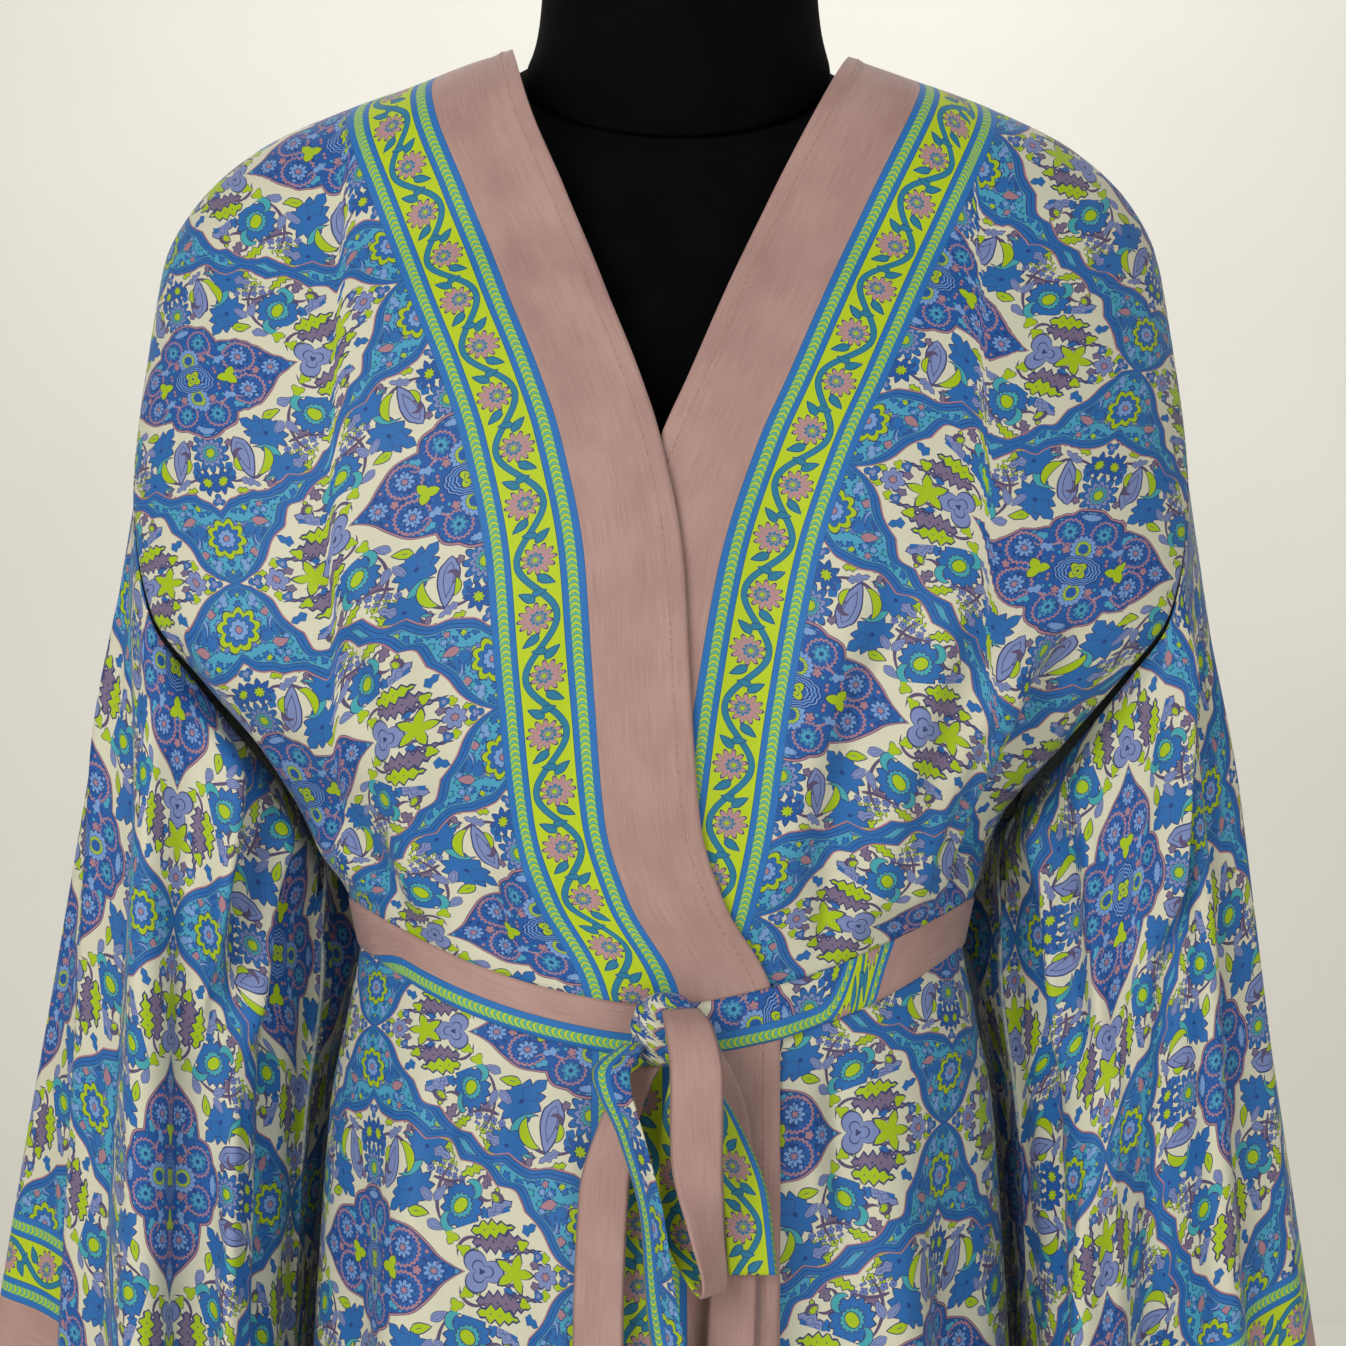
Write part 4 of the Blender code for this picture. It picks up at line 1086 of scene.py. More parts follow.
TIP_GROUND = [
    Leaf("leaf beside the trefoil", 52, 4.5, 40, 7, 2.2, 0.4, 0, "lime"),
    Leaf("leaf over the star", 66, 6.2, 30, 8, 2.4, -0.3, 2, "royal"),
    Leaf("leaf under the blossom", 79, 4.6, -14, 8, 2.2, 0.4, 2, "mauve"),
    Leaf("sprig at the tip", 90, 3.6, -6, 7, 2.0, 0.5, 2, "lime"),
    Leaf("bud twig", 66, 8.5, 4, 20.3, 1.5, 0.0, 6, "twig"),
    Leaf("star twig", 63, 5, -4, 13.6, 1.2, 0.6, 4, "twig"),
    Leaf("mauve feather", 54, 11.5, 4, 26.0, 5.4, -0.1, 7, "mauve"),
    Leaf("lime feather", 54, 16.0, 6, 20.3, 4.7, 0.1, 5, "lime"),
    Curl("stem to the tulips", 55, 7, 120, 6.6, 0.75, 150, "stem"),
    Flower("first tulip", 51, 8.5, 150, 3.4, 0.9, 3, -0.5, "lime star"),
    Flower("second tulip", 46.5, 13.5, 120, 3.8, 0.9, 3, -0.5, "lime star"),
    Flower("lime calyx", 76, 11.5, 20, 3.4, 0.8, 3, -0.4, "lime star"),
    Leaf("blue bud", 76, 16.5, 20, 7.9, 2.7, 0.3, 2, "royal"),
    Flower("side bud", 86.5, 7.2, 0, 2.4, 1.0, 4, 0.30, "lime star"),
    Flower("bud cup", 83.2, 7.6, 0, 2.5, 1.0, 3, 0.30, "bud"),
    Flower("trefoil", 57.5, 0, 0, 9.5, 1.0, 3, 0.52, "lilac trefoil"),
    Flower("lime star", 71.5, 0, 0, 10.2, 0.9, 5, -0.66, "lime star"),
    Flower("axis blossom", 86.8, 0, 22, 5.5, 1.0, 7, 0.34, "axis blossom"),
    Flower("tip trefoil", 95.5, 0, 0, 3.8, 1.0, 3, 0.55, "bud"),
]
SIDE_GROUND = [
    Leaf("second rim leaf", 36, 19.5, -32, 8, 2.2, 0.3, 0, "lilac"),
    Leaf("third rim leaf", 43, 12.5, -48, 7, 2.0, -0.3, 0, "lime"),
    Leaf("stem leaf", 40, 33, 10, 7, 2.2, 0.3, 2, "mauve"),
    Leaf("outer sprig", 60, 33, 52, 11, 3.0, 0.4, 4, "mauve"),
    Leaf("trellis sprig", 66, 26, 84, 9, 2.6, -0.3, 3, "lime"),
    Leaf("leaf behind the blossom", 58, 24, -12, 10, 3.4, 0.3, 3, "royal"),
    Curl("long stem", 55, 29.5, 180, 16.4, 0.81, 118, "stem"),
    Curl("bunch stem", 44, 52, 265, 17, 0.75, 80, "stem"),
    Curl("outer tendril", 62, 33.5, 200, 5.0, 1.0, 230, "stem"),
    Curl("squiggle", 66, 29, 20, 3.0, 1.0, 230, "stem"),
    Leaf("lilac side leaf", 62, 21.5, 40, 13.6, 4.1, -0.4, 3, "lilac"),
    Leaf("blue bud leaf", 68, 19, 62, 9.0, 2.5, 0.3, 2, "royal"),
    Leaf("left lilac leaf", 36.5, 26.5, 128, 9.0, 2.1, 0.2, 0, "lilac"),
    Leaf("right lilac leaf", 37.5, 26.5, 62, 8.5, 2.1, -0.2, 0, "lilac"),
    Leaf("leaf on the rim", 27.5, 23.6, -16, 9.6, 2.5, 0.3, 0, "lime"),
    Leaf("sprig", 50, 37.5, 28, 15.8, 2.7, -0.5, 5, "lime"),
    Flower("blue blossom", 50.5, 26, 35, 10.2, 1.0, 14, -0.19, "blue blossom"),
    Curl("upper band", 54.6, 32.2, 20, 3.4, 1.88, 215, "teal"),
    Curl("lower band", 46.6, 19.8, 200, 3.4, 1.88, 215, "teal"),
    Flower("eye", 50.5, 26, 50, 3.8, 0.8, 2, 0.12, "lime star"),
]
SHARED_GROUND = [
    Flower("lower jagged leaf", 27.5, 31, 222, 11.0, 0.78, 10, -0.26, "royal leaf"),
    Leaf("tip of the leaf", 27, 30.5, 222, 13.6, 4.1, 0.0, 2, "royal"),
    Bunch("lime bunch", 41, 44, -18, 7.5, 4.1, 4.0, "lime floret"),
    Bunch("lilac bunch", 43, 38, -14, 9.5, 4.1, 4.0, "lilac floret"),
]
TOP_GROUND = [
    Leaf("leaf by the lotus", 7.5, 31.5, 22, 9, 2.6, 0.5, 3, "mauve"),
    Leaf("leaf at the cusp", 24, 57.5, 160, 11, 2.4, -0.4, 4, "mauve"),
    Leaf("leaf over the arc", 40, 52.5, -60, 8, 2.4, 0.3, 3, "lime"),
    Leaf("inner paisley leaf", 6.5, 41.5, 60, 9, 2.4, 0.5, 2, "royal"),
    Leaf("leaf to the twins", 9, 55.5, 10, 9, 2.2, 0.5, 3, "lime"),
    Curl("stem over the paisley", 14, 34, 82, 17.5, 0.81, 96, "stem"),
    Curl("hook", 29, 55.5, 200, 2.4, 0.88, 250, "stem"),
    Leaf("bud on the stem", 23.5, 50.5, 74, 7.3, 2.3, 0.0, 2, "mauve"),
    Leaf("small sprig", 12, 50.5, 20, 10.2, 2.5, 0.5, 3, "lilac"),
    Curl("teal stem", 22.5, 44.6, -4, 8.2, 1.75, 210, "teal"),
    Flower("upper jagged leaf", 33.5, 48.4, -16, 9.6, 0.8, 10, -0.26, "royal leaf"),
    Leaf("lilac lobe", 36, 48.0, -30, 9.0, 2.9, 0.0, 2, "lilac"),
    Leaf("paisley", 12.6, 29.5, 72, 23.2, 5.0, 0.35, 0, "lilac"),
    Curl("paisley hook", 14.2, 38.8, 200, 2.6, 1.12, 230, "stem"),
    Curl("lime crescent", 18.6, 41.6, 22, 8.0, 2.38, 120, "lime"),
    Curl("lime side leaf", 17.6, 42.2, 168, 6.0, 1.62, 90, "lime"),
    Flower("lilac lotus", 0, 36.2, 90, 10.2, 0.94, 11, 0.34, "lilac lotus"),
    Flower("twin blossoms", 3.8, 50.5, 40, 6.3, 1.2, 8, -0.42, "small blue"),
    Flower("peak bud", 0, 59.6, 30, 3.4, 1.0, 3, 0.55, "bud"),
]

MEDALLION = [
    Flower("upper ring", 8.0, 17.6, 0, 6.6, 1.0, 18, 0.14, "coral ring"),
    Flower("side ring", 25.6, 8.2, 0, 8.4, 0.94, 22, 0.12, "coral ring"),
    Curl("branch", 17.5, 17.5, 250, 7.5, 0.55, 150, "coral"),
    Flower("upper daisy", 8.0, 17.6, 0, 4.0, 1.0, 8, 0.45, "light daisy"),
    Flower("side daisy", 25.6, 8.2, 0, 5.4, 0.94, 9, 0.50, "daisy"),
    Flower("tip daisy", 38.5, 0, 0, 5.4, 0.9, 9, 0.52, "daisy"),
    Flower("axis dot", 31.6, 0, 0, 2.4, 1.0, 5, 0.4, "coral dot"),
    Flower("coral star", 7.6, 9.4, 0, 2.5, 1.0, 5, 0.45, "coral dot"),
    Leaf("pale tulip", 13.2, 8.6, 14, 7, 2.6, 0.0, 2, "pale"),
    Leaf("sky leaf", 16.8, 13.6, 20, 6.4, 2.0, 0.2, 2, "sky"),
    Flower("sunflower", 0, 10.2, 90, 6.9, 0.95, 15, 0.24, "sunflower"),
    Flower("lens", 0, 0, 0, 11.4, 0.64, 12, 0.08, "lens"),
    Flower("centre", 0, 0, 45, 5.0, 0.9, 4, 0.40, "lime centre"),
    Flower("arrow", 18.2, 0, 180, 6.4, 0.9, 3, -0.60, "lime star"),
    Flower("zigzag", 0, 25.4, 0, 6.2, 0.34, 14, 0.30, "zigzag"),
]

SPANDREL = [
    Leaf("side leaf", 9, 72, 38, 14, 3.8, 0.5, 3, "royal"),
    Leaf("outer leaf", 24, 69.5, 14, 16, 3.0, -0.5, 4, "royal"),
    Leaf("pink leaf", 13, 70.5, 6, 8, 2.4, 0.4, 0, "coral"),
    Leaf("tall leaf", 5, 87, 70, 10, 2.2, 0.4, 3, "pale"),
    Curl("scroll", 19, 78.5, 110, 6.0, 1.0, 230, "scroll"),
    Curl("inner scroll", 31, 69.5, 100, 4.4, 0.9, 230, "scroll"),
    Curl("top scroll", 7, 93, 60, 4.2, 0.9, 200, "scroll"),
    Flower("fan", 0, 78, 90, 10.2, 0.95, 9, 0.24, "fan"),
    Flower("side blossom", 19, 78, 0, 3.6, 1.0, 6, 0.35, "small blue"),
    Flower("pink bud", 11.5, 85, 0, 2.4, 1.0, 4, 0.3, "coral dot"),
]
CHARTED = TIP_GROUND + SIDE_GROUND + SHARED_GROUND + TOP_GROUND + MEDALLION + SPANDREL
print("motifs charted:", len(CHARTED))

# %% [markdown]
# ## The printed cloth
# From its edge inward the cloth has a plain rose band, a figured border and the trellis. A
# trellis cell is a scalloped outline with a cream ground and a blue medallion in it. All of
# it could be one long chain of colours, but that is slow to render. A tree of Mix Shader
# nodes lets the renderer work out only the part that a point lies in.

# %% Print
ROSE_WIDTH = 37.0
BORDER_WIDTH = 37.8
VINE_MIDDLE = 18.9
VINE_REACH = 6.9
VINE_SCALE = 0.5
VINE_SWELL = 0.14
VINE_FIELD = 9.6
STRIPE_REACH = 20
CHEVRON_MIDDLE = 13.8
CHEVRON_PITCH = 2.6
CHEVRON_BOW = 0.16
LOTUS_PITCH = 24.0
BORDER_VINE = [
    Leaf("leaf before", -6.0, -0.5, 218, 8.4, 2.1, 1.1, 0, "vine"),
    Leaf("leaf behind", 6.4, -1.2, -34, 8.0, 2.1, -1.1, 0, "vine"),
    Leaf("leaf at the crossing", 9.4, -2.4, 62, 6.5, 1.7, 1.0, 0, "vine"),
    Flower("lotus", 0, -1.6, -90, 7.3, 0.92, 11, 0.42, "lotus"),
    Flower("lotus eye", 0, -0.2, -90, 3.5, 0.9, 9, 0.35, "lotus eye"),
]


def outline(tree, angle, points, cusps, reach):
    """The distance of a charted outline from its middle, at an angle in radians."""
    share = maths(tree, "MULTIPLY", angle, 2 / math.pi)
    scaled = [(degrees / 90, distance / reach) for degrees, distance in points]
    curve = charted(tree, share, scaled, [cusp / 90 for cusp in cusps])
    return maths(tree, "MULTIPLY", curve, reach)


def border_ink(tree, where):
    """The figured border: stripes, chevrons and a vine with a lotus in each hollow."""
    across, along, _ = split(tree, where)
    middle = maths(tree, "SUBTRACT", across, ROSE_WIDTH + VINE_MIDDLE)
    off_middle = maths(tree, "ABSOLUTE", middle)
    step = maths(tree, "WRAP", along, LOTUS_PITCH / 2, -LOTUS_PITCH / 2)
    phase = maths(tree, "MULTIPLY", along, math.pi / LOTUS_PITCH)
    wave = maths(tree, "COSINE", phase)
    turned = maths(tree, "MULTIPLY", middle, maths(tree, "SIGN", wave))
    lean = maths(tree, "ABSOLUTE", maths(tree, "SINE", phase))
    off_vine = maths(tree, "ABSOLUTE", maths(tree, "MULTIPLY_ADD", wave, -VINE_REACH, middle))
    thin = maths(tree, "MULTIPLY_ADD", lean, -VINE_SWELL, VINE_SCALE)
    off_vine = maths(tree, "MULTIPLY", off_vine, thin)
    colour = painted(tree, INKS["meadow"], off_vine, VINE_BANDS)
    colour = paint(tree, colour, put(tree, "CombineXYZ", step, turned), BORDER_VINE)
    from_band = apart(tree, off_middle, CHEVRON_MIDDLE)
    steps = maths(tree, "MULTIPLY", along, 1 / CHEVRON_PITCH)
    bowed = squared(tree, from_band)
    slanted = maths(tree, "FRACT", maths(tree, "MULTIPLY_ADD", bowed, CHEVRON_BOW, steps))
    chevron = banded(tree, slanted, CHEVRON_BANDS)
    colour = mixed(tree, maths(tree, "GREATER_THAN", off_middle, VINE_FIELD), colour, chevron)
    stripes = maths(tree, "MULTIPLY", off_middle, 1 / STRIPE_REACH)
    return painted(tree, colour, stripes, STRIPE_BANDS)


def ground_ink(base, motifs, florets_on=()):
    """How to draw motifs on one ink, or on florets of several inks scattered over it."""
    def draw(tree, where):
        ground = florets(tree, INKS[base], where, *florets_on) if florets_on else INKS[base]
        return paint(tree, ground, where, motifs)

    return draw


VINE_BANDS = "0 vine .5 vine_edge .66 bare"
CHEVRON_BANDS = "0 leaf_green .34 vine .44 meadow .88 vine"
STRIPE_BANDS = (
    "0 bare .46 vine_edge .475 stripe .575 vine "
    ".595 bare .79 vine .805 stripe .93 vine_edge"
)
RIM_BANDS = "0 royal .08 outline .22 coral .42 outline"
TRELLIS_BANDS = "0 coral .07 outline .1 blue .24 deep .28 blue .42 outline .46 sky"
GROUNDS = {
    "tip": TIP_GROUND, "side": SHARED_GROUND + SIDE_GROUND, "top": SHARED_GROUND + TOP_GROUND,
}
# Florets on a ground: their pitch, their inks and their reach as a share of the pitch
MEDALLION_FLORETS = (3.4, "blue blue deep pale blue coral blue sky".split(), 0.36)
SPANDREL_FLORETS = (
    3.8, "blue pale royal teal periwinkle blue coral lime blue".split(), 0.52
)

# Noise over the cloth: its scale along and across the threads, and its detail
THREADS = ((3.2, 0.22, 0), 3.0)
PUCKERS = ((0.06, 0.03, 0), 3.0)
PUCKER_SHARE = 6.0
RELIEF = (0.35, 0.0004)
SLUBS = ((1.6, 0.05, 0), 4.0)
WEAR = ((0.05, 0.03, 0), 2.0)
BLOTS = ((0.16, 0.16, 0), 3.0)

MEDALLION_PLACE = (75.0, 0.0, 0.0)
RIM_WIDTH = 1.9
RIM_SCALE = 0.25
TRELLIS_GAIN = 1.2
TRELLIS_SCALE = 0.1
SPANDREL_FROM = 5.0
TIP_BELOW = math.radians(19.0)
TOP_FROM = math.radians(45.0)

SATIN = {
    "Roughness": 0.58, "Sheen Weight": 0.12, "Sheen Roughness": 0.4, "Specular IOR Level": 0.32,
}


def cloth_surface(tree, ink, bump):
    """One kind of surface: the ink's colour on soft satin-faced cloth."""
    return put(tree, "BsdfPrincipled", named={"Base Color": ink, **SATIN, "Normal": bump})


def either(tree, value, test, limit, first, second):
    """The second surface where the value passes the test, else the first."""
    return put(tree, "MixShader", maths(tree, test, value, limit), first, second)


def woven_bump(tree, where):
    """Fine threads and faint puckers of thin cloth."""
    threads = noise(tree, where, *THREADS)
    puckers = noise(tree, where, *PUCKERS)
    height = maths(tree, "MULTIPLY_ADD", puckers, PUCKER_SHARE, threads)
    return bumped(tree, height, *RELIEF)


def rose_ink(tree, where):
    """Dusty rose with long uneven threads and faint wear."""
    slub = noise(tree, where, *SLUBS)
    cloud = noise(tree, where, *WEAR)
    tone = maths(tree, "MULTIPLY_ADD", cloud, 0.5, maths(tree, "MULTIPLY", slub, 0.5))
    return banded(tree, tone, ".38 rose_dark .62 rose_light", smooth=True)


def new_material(name, draw):
    """A material whose surface is what a drawing function gives."""
    material = bpy.data.materials.new(name)
    material.use_nodes = True
    tree = material.node_tree
    tree.nodes.clear()
    surface = draw(tree)
    tree.links.new(surface, tree.nodes.new("ShaderNodeOutputMaterial").inputs[0])
    return material


def clouded_material(name, clouds, inks, roughness, relief=(), uneven=0.0, **feeds):
    """A material with clouds of two inks, and a fine relief and an uneven gloss if asked."""
    def draw(tree):
        place = put(tree, "TexCoord", out="Object")
        cloud = put(tree, "TexNoise", place, None, *clouds)
        named = {"Base Color": banded(tree, cloud, inks, smooth=True), "Roughness": roughness}
        if uneven:
            named["Roughness"] = maths(tree, "MULTIPLY_ADD", cloud, uneven, roughness)
        if relief:
            kind, scales, strength, distance = relief
            named["Normal"] = bumped(tree, put(tree, kind, place, *scales), strength, distance)
        return put(tree, "BsdfPrincipled", named=named | feeds)

    return new_material(name, draw)


def flat_place(tree):
    """A point's place on the flat cloth, in millimetres."""
    return vectors(tree, "SCALE", put(tree, "UVMap", uv_map="cloth"), None, None, 1 / MM)


def printed_surface(tree):
    """Rose band, border and trellis, each with a surface of its own."""
    where = flat_place(tree)
    bump = woven_bump(tree, where)
    across = put(tree, "SeparateXYZ", where)
    border = stamp(tree, "border", where, border_ink)

    moved = split(tree, vectors(tree, "SUBTRACT", where, MEDALLION_PLACE))
    x = maths(tree, "PINGPONG", moved[0], REPEAT_LONG)
    y = maths(tree, "PINGPONG", moved[1], REPEAT_TALL)
    near = put(tree, "CombineXYZ", x, y)
    far = vectors(tree, "SUBTRACT", (REPEAT_LONG, REPEAT_TALL, 0), near)
    beyond = []
    for point in (near, far):
        radius, angle = polar(tree, point)
        reach = outline(tree, angle, CELL_OUTLINE, CELL_CUSPS, CELL_REACH)
        beyond.append(maths(tree, "SUBTRACT", radius, reach))
    outside = maths(tree, "ADD", maths(tree, "MINIMUM", *beyond), TRELLIS_GAIN)
    cell = mixed(tree, maths(tree, "GREATER_THAN", *beyond), near, far, "VECTOR")
    radius, angle = polar(tree, cell)
    reach = outline(tree, angle, MEDALLION_OUTLINE, MEDALLION_CUSPS, MEDALLION_REACH)
    rim = maths(tree, "SUBTRACT", radius, reach)

    grounds = [
        stamp(tree, "ground at the " + part, cell, ground_ink("cream", motifs))
        for part, motifs in GROUNDS.items()
    ]
    blue = stamp(tree, "medallion", cell, ground_ink("royal", MEDALLION, MEDALLION_FLORETS))
    rim_ink = banded(tree, maths(tree, "MULTIPLY_ADD", rim, RIM_SCALE, 0.5), RIM_BANDS)
    medallion = mixed(tree, maths(tree, "LESS_THAN", rim, -RIM_WIDTH), rim_ink, blue)

    wide = maths(tree, "DIVIDE", x, REPEAT_LONG)
    tall = maths(tree, "DIVIDE", y, REPEAT_TALL)
    corner = mixed(tree, maths(tree, "GREATER_THAN", wide, tall), near, far, "VECTOR")
    sky = stamp(tree, "spandrel", corner, ground_ink("sky", SPANDREL, SPANDREL_FLORETS))
    bands = banded(tree, maths(tree, "MULTIPLY", outside, TRELLIS_SCALE), TRELLIS_BANDS)

    tip, side, top = [cloth_surface(tree, ground, bump) for ground in grounds]
    beside = either(tree, angle, "GREATER_THAN", TOP_FROM, side, top)
    ground = either(tree, angle, "LESS_THAN", TIP_BELOW, beside, tip)
    in_cell = either(tree, rim, "LESS_THAN", 0.0, ground, cloth_surface(tree, medallion, bump))
    bands, sky = [cloth_surface(tree, ink, bump) for ink in (bands, sky)]
    in_trellis = either(tree, outside, "GREATER_THAN", SPANDREL_FROM, bands, sky)
    main = either(tree, outside, "GREATER_THAN", 0.0, in_cell, in_trellis)
    figured = cloth_surface(tree, border, bump)
    rose = cloth_surface(tree, rose_ink(tree, where), bump)
    edge = either(tree, across, "LESS_THAN", ROSE_WIDTH, figured, rose)
    return either(tree, across, "LESS_THAN", ROSE_WIDTH + BORDER_WIDTH, main, edge)


PRINTED = new_material("printed_cloth", printed_surface)
print("nodes of the print:", len(PRINTED.node_tree.nodes))

# %% [markdown]
# ## Sewing the robe
# Each grid becomes a thin sheet of quads with its places on the flat cloth as a UV map. The
# edge that shows is turned under and stitched, so it stands a little thicker there. A
# Solidify modifier gives the cloth its thickness; its inner side takes a paler material,
# because ink only partly soaks through.

# %% Cloth panels
CLOTH_THICKNESS = 0.0006
HEM_SPAN = (7.5, 9.5)
HEM_STEP = 0.0006


def reverse_surface(tree):
    """The inner side of the printed cloth: the print shows through, pale and blurred."""
    where = flat_place(tree)
    across = put(tree, "SeparateXYZ", where)
    pale = banded(tree, noise(tree, where, *BLOTS), REVERSE_BANDS, smooth=True)
    rose = rose_ink(tree, where)
    colour = mixed(tree, maths(tree, "LESS_THAN", across, ROSE_WIDTH), pale, rose)
    return cloth_surface(tree, colour, woven_bump(tree, where))


REVERSE_BANDS = ".36 reverse_blue .5 reverse_cream .64 reverse_teal"
REVERSE = new_material("printed_cloth_reverse", reverse_surface)


def cloth_mesh(name, grid, places, closed=True, flip=False):
    """A sheet of quads over a grid, with its places on the flat cloth as a UV map."""
    rows, columns = grid.shape[:2]
    mesh = bpy.data.meshes.new(name)
    faces = []
    corners = []
    for i in range(rows - 1):
        for j in range(columns if closed else columns - 1):
            k = (j + 1) % columns
            face = [(i, j, j), (i, k, j + 1), (i + 1, k, j + 1), (i + 1, j, j)]
            if flip:
                face.reverse()
            faces.append([row * columns + column for row, column, _ in face])
            corners.extend((row, place) for row, _, place in face)
    mesh.from_pydata(grid.reshape(-1, 3).tolist(), [], faces)
    row, place = np.array(corners).T
    uv = mesh.uv_layers.new(name="cloth")
    uv.data.foreach_set("uv", (places[row, place] * MM).ravel().astype(np.float32))
    return mesh


def turn_outward(mesh, close=False):
    """Turn all faces of a mesh outward, and close its open ends first if asked."""
    bm = bmesh.new()
    bm.from_mesh(mesh)
    if close:
        bmesh.ops.remove_doubles(bm, verts=bm.verts, dist=1e-6)
        rim = [edge for edge in bm.edges if edge.is_boundary]
        bmesh.ops.holes_fill(bm, edges=rim, sides=0)
    bmesh.ops.recalc_face_normals(bm, faces=bm.faces)
    bm.to_mesh(mesh)
    bm.free()


def hand_over(obj, material):
    """Hand an object over as a smooth piece of the robe's one body."""
    obj.data.materials.append(material)
    obj.data.shade_smooth()
    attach(obj, "root")


def add_piece(name, mesh, material):
    """Link a mesh as a piece of the object."""
    obj = bpy.data.objects.new(name, mesh)
    scene.collection.objects.link(obj)
    hand_over(obj, material)
    return obj


def apply_modifiers(obj):
    """Replace an object's mesh by the result of its modifiers."""
    bpy.ops.object.select_all(action="DESELECT")
    obj.select_set(True)
    bpy.context.view_layer.objects.active = obj
    for modifier in list(obj.modifiers):
        bpy.ops.object.modifier_apply(modifier=modifier.name)


def add_panel(name, grid, places, closed=False, flip=False):
    """A panel of the robe: a thin shell in the place of its plain solid."""
    mesh = cloth_mesh("cloth_" + name, grid, places, closed, flip)
    obj = add_piece("cloth_" + name, mesh, PRINTED)
    mesh.materials.append(REVERSE)
    shell = obj.modifiers.new("thickness", "SOLIDIFY")
    shell.thickness = CLOTH_THICKNESS
    shell.offset = -1.0
    shell.material_offset = 1
    apply_modifiers(obj)
    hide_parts(name)
    return obj


def raise_hem(grid, normals, from_edge):
    """Lift the doubled cloth of a turned edge by its own thickness."""
    lift = HEM_STEP * (1 - smooth_step(*HEM_SPAN, from_edge))
    return grid + normals * lift[:, :, None]


def cut_area(grid, closed=False):
    """The flat area of a grid's cloth in square metres."""
    if closed:
        grid = np.concatenate([grid, grid[:, :1]], axis=1)
    side = np.diff(grid, axis=1)[:-1]
    up = np.diff(grid, axis=0)[:, :-1]
    return float(np.linalg.norm(np.cross(side, up), axis=2).sum())


TOP_FRONT_GRID, UNDER_FRONT_GRID = [
    raise_hem(grid, outward_normals(grid), places[:, :, 0])
    for grid, places in ((TOP_FRONT_GRID, TOP_FRONT_PLACES), (UNDER_FRONT_GRID, UNDER_FRONT_PLACES))
]
RIGHT_OPENED = raise_hem(
    RIGHT_OPENED, tube_normals(RIGHT_OPENED, -1.0), RIGHT_SLEEVE_PLACES[:, :-1, 0]
)
LEFT_OPENED = raise_hem(LEFT_OPENED, tube_normals(LEFT_OPENED, 1.0), LEFT_SLEEVE_PLACES[:, :-1, 0])

back = add_panel("back", BACK_GRID, BACK_PLACES, flip=True)
top_front = add_panel("front_wearers_right", TOP_FRONT_GRID, TOP_FRONT_PLACES, flip=True)
under_front = add_panel("front_wearers_left", UNDER_FRONT_GRID, UNDER_FRONT_PLACES)
right_sleeve = add_panel("sleeve_wearers_right", RIGHT_OPENED, RIGHT_SLEEVE_PLACES, True, True)
left_sleeve = add_panel("sleeve_wearers_left", LEFT_OPENED, LEFT_SLEEVE_PLACES, True)
areas = [cut_area(grid) for grid in (BACK_GRID, TOP_FRONT_GRID, UNDER_FRONT_GRID)]
areas += [cut_area(grid, True) for grid in (RIGHT_SLEEVE_GRID, LEFT_SLEEVE_GRID)]
print("cloth areas:", [round(area, 3) for area in areas])

# %% [markdown]
# ## Stitches
# A line of machine stitching holds every turned edge down: a dash of thread on the cloth,
# then a gap where the thread dips under. Each dash is a slim spindle with pointed ends,
# laid along a line a few millimetres in from the edge. They are made as one mesh a panel,
# since hundreds of loose threads would be slow to place by hand.

# %% Stitches
STITCH_IN = 0.0068
STITCH_PITCH = 0.0034
STITCH_LENGTH = 0.0026
STITCH_WIDTH = 0.00028
STITCH_HEIGHT = 0.0002
STITCH_SHARES = np.array([0, 0.2, 0.8, 1])


def inset_line(grid, normals):
    """A line on the cloth a stitch's distance in from the first row, and its normals."""
    run = run_length(grid)
    column = np.flatnonzero(run[-1] > STITCH_IN)
    row = np.argmax(run[:, column] >= STITCH_IN, axis=0) - 1
    before = run[row, column]
    share = ((STITCH_IN - before) / (run[row + 1, column] - before))[:, None]
    line = grid[row, column] * (1 - share) + grid[row + 1, column] * share
    return line, normals[row, column]


def add_stitches(name, lines):
    """One piece with a dash of thread for every stitch along the lines."""
    points = []
    faces = []
    for line, normals in lines:
        run = run_length(line)
        for start in np.arange(STITCH_PITCH, run[-1] - STITCH_PITCH, STITCH_PITCH):
            root, *middles, tip = points_at(line, run, start + STITCH_SHARES * STITCH_LENGTH)
            up = points_at(normals, run, start)
            side = np.cross(up, tip - root)
            side *= STITCH_WIDTH / np.linalg.norm(side)
            rise = up * STITCH_HEIGHT
            first = len(points)
            points.append(root)
            for spot in middles:
                points.extend([spot + side, spot + rise * 2, spot - side, spot - rise])
            points.append(tip)
            for k in range(4):
                after = (k + 1) % 4
                faces.append((first, first + 1 + after, first + 1 + k))
                faces.append((first + 1 + k, first + 1 + after, first + 5 + after, first + 5 + k))
                faces.append((first + 5 + k, first + 5 + after, first + 9))
    mesh = bpy.data.meshes.new(name)
    mesh.from_pydata([tuple(point) for point in points], [], faces)
    turn_outward(mesh)
    return add_piece(name, mesh, THREAD)


def panel_edges(grid):
    """The stitch lines of a front: along its free edge and along its hem."""
    normals = outward_normals(grid)
    free_edge = inset_line(grid.swapaxes(0, 1), normals.swapaxes(0, 1))
    return [free_edge, inset_line(grid, normals)]


def cuff_edge(opened, side):
    """The stitch line round a cuff, closed on itself."""
    line, normals = inset_line(opened[::-1], tube_normals(opened, side)[::-1])
    return [(np.append(line, line[:1], axis=0), np.append(normals, normals[:1], axis=0))]


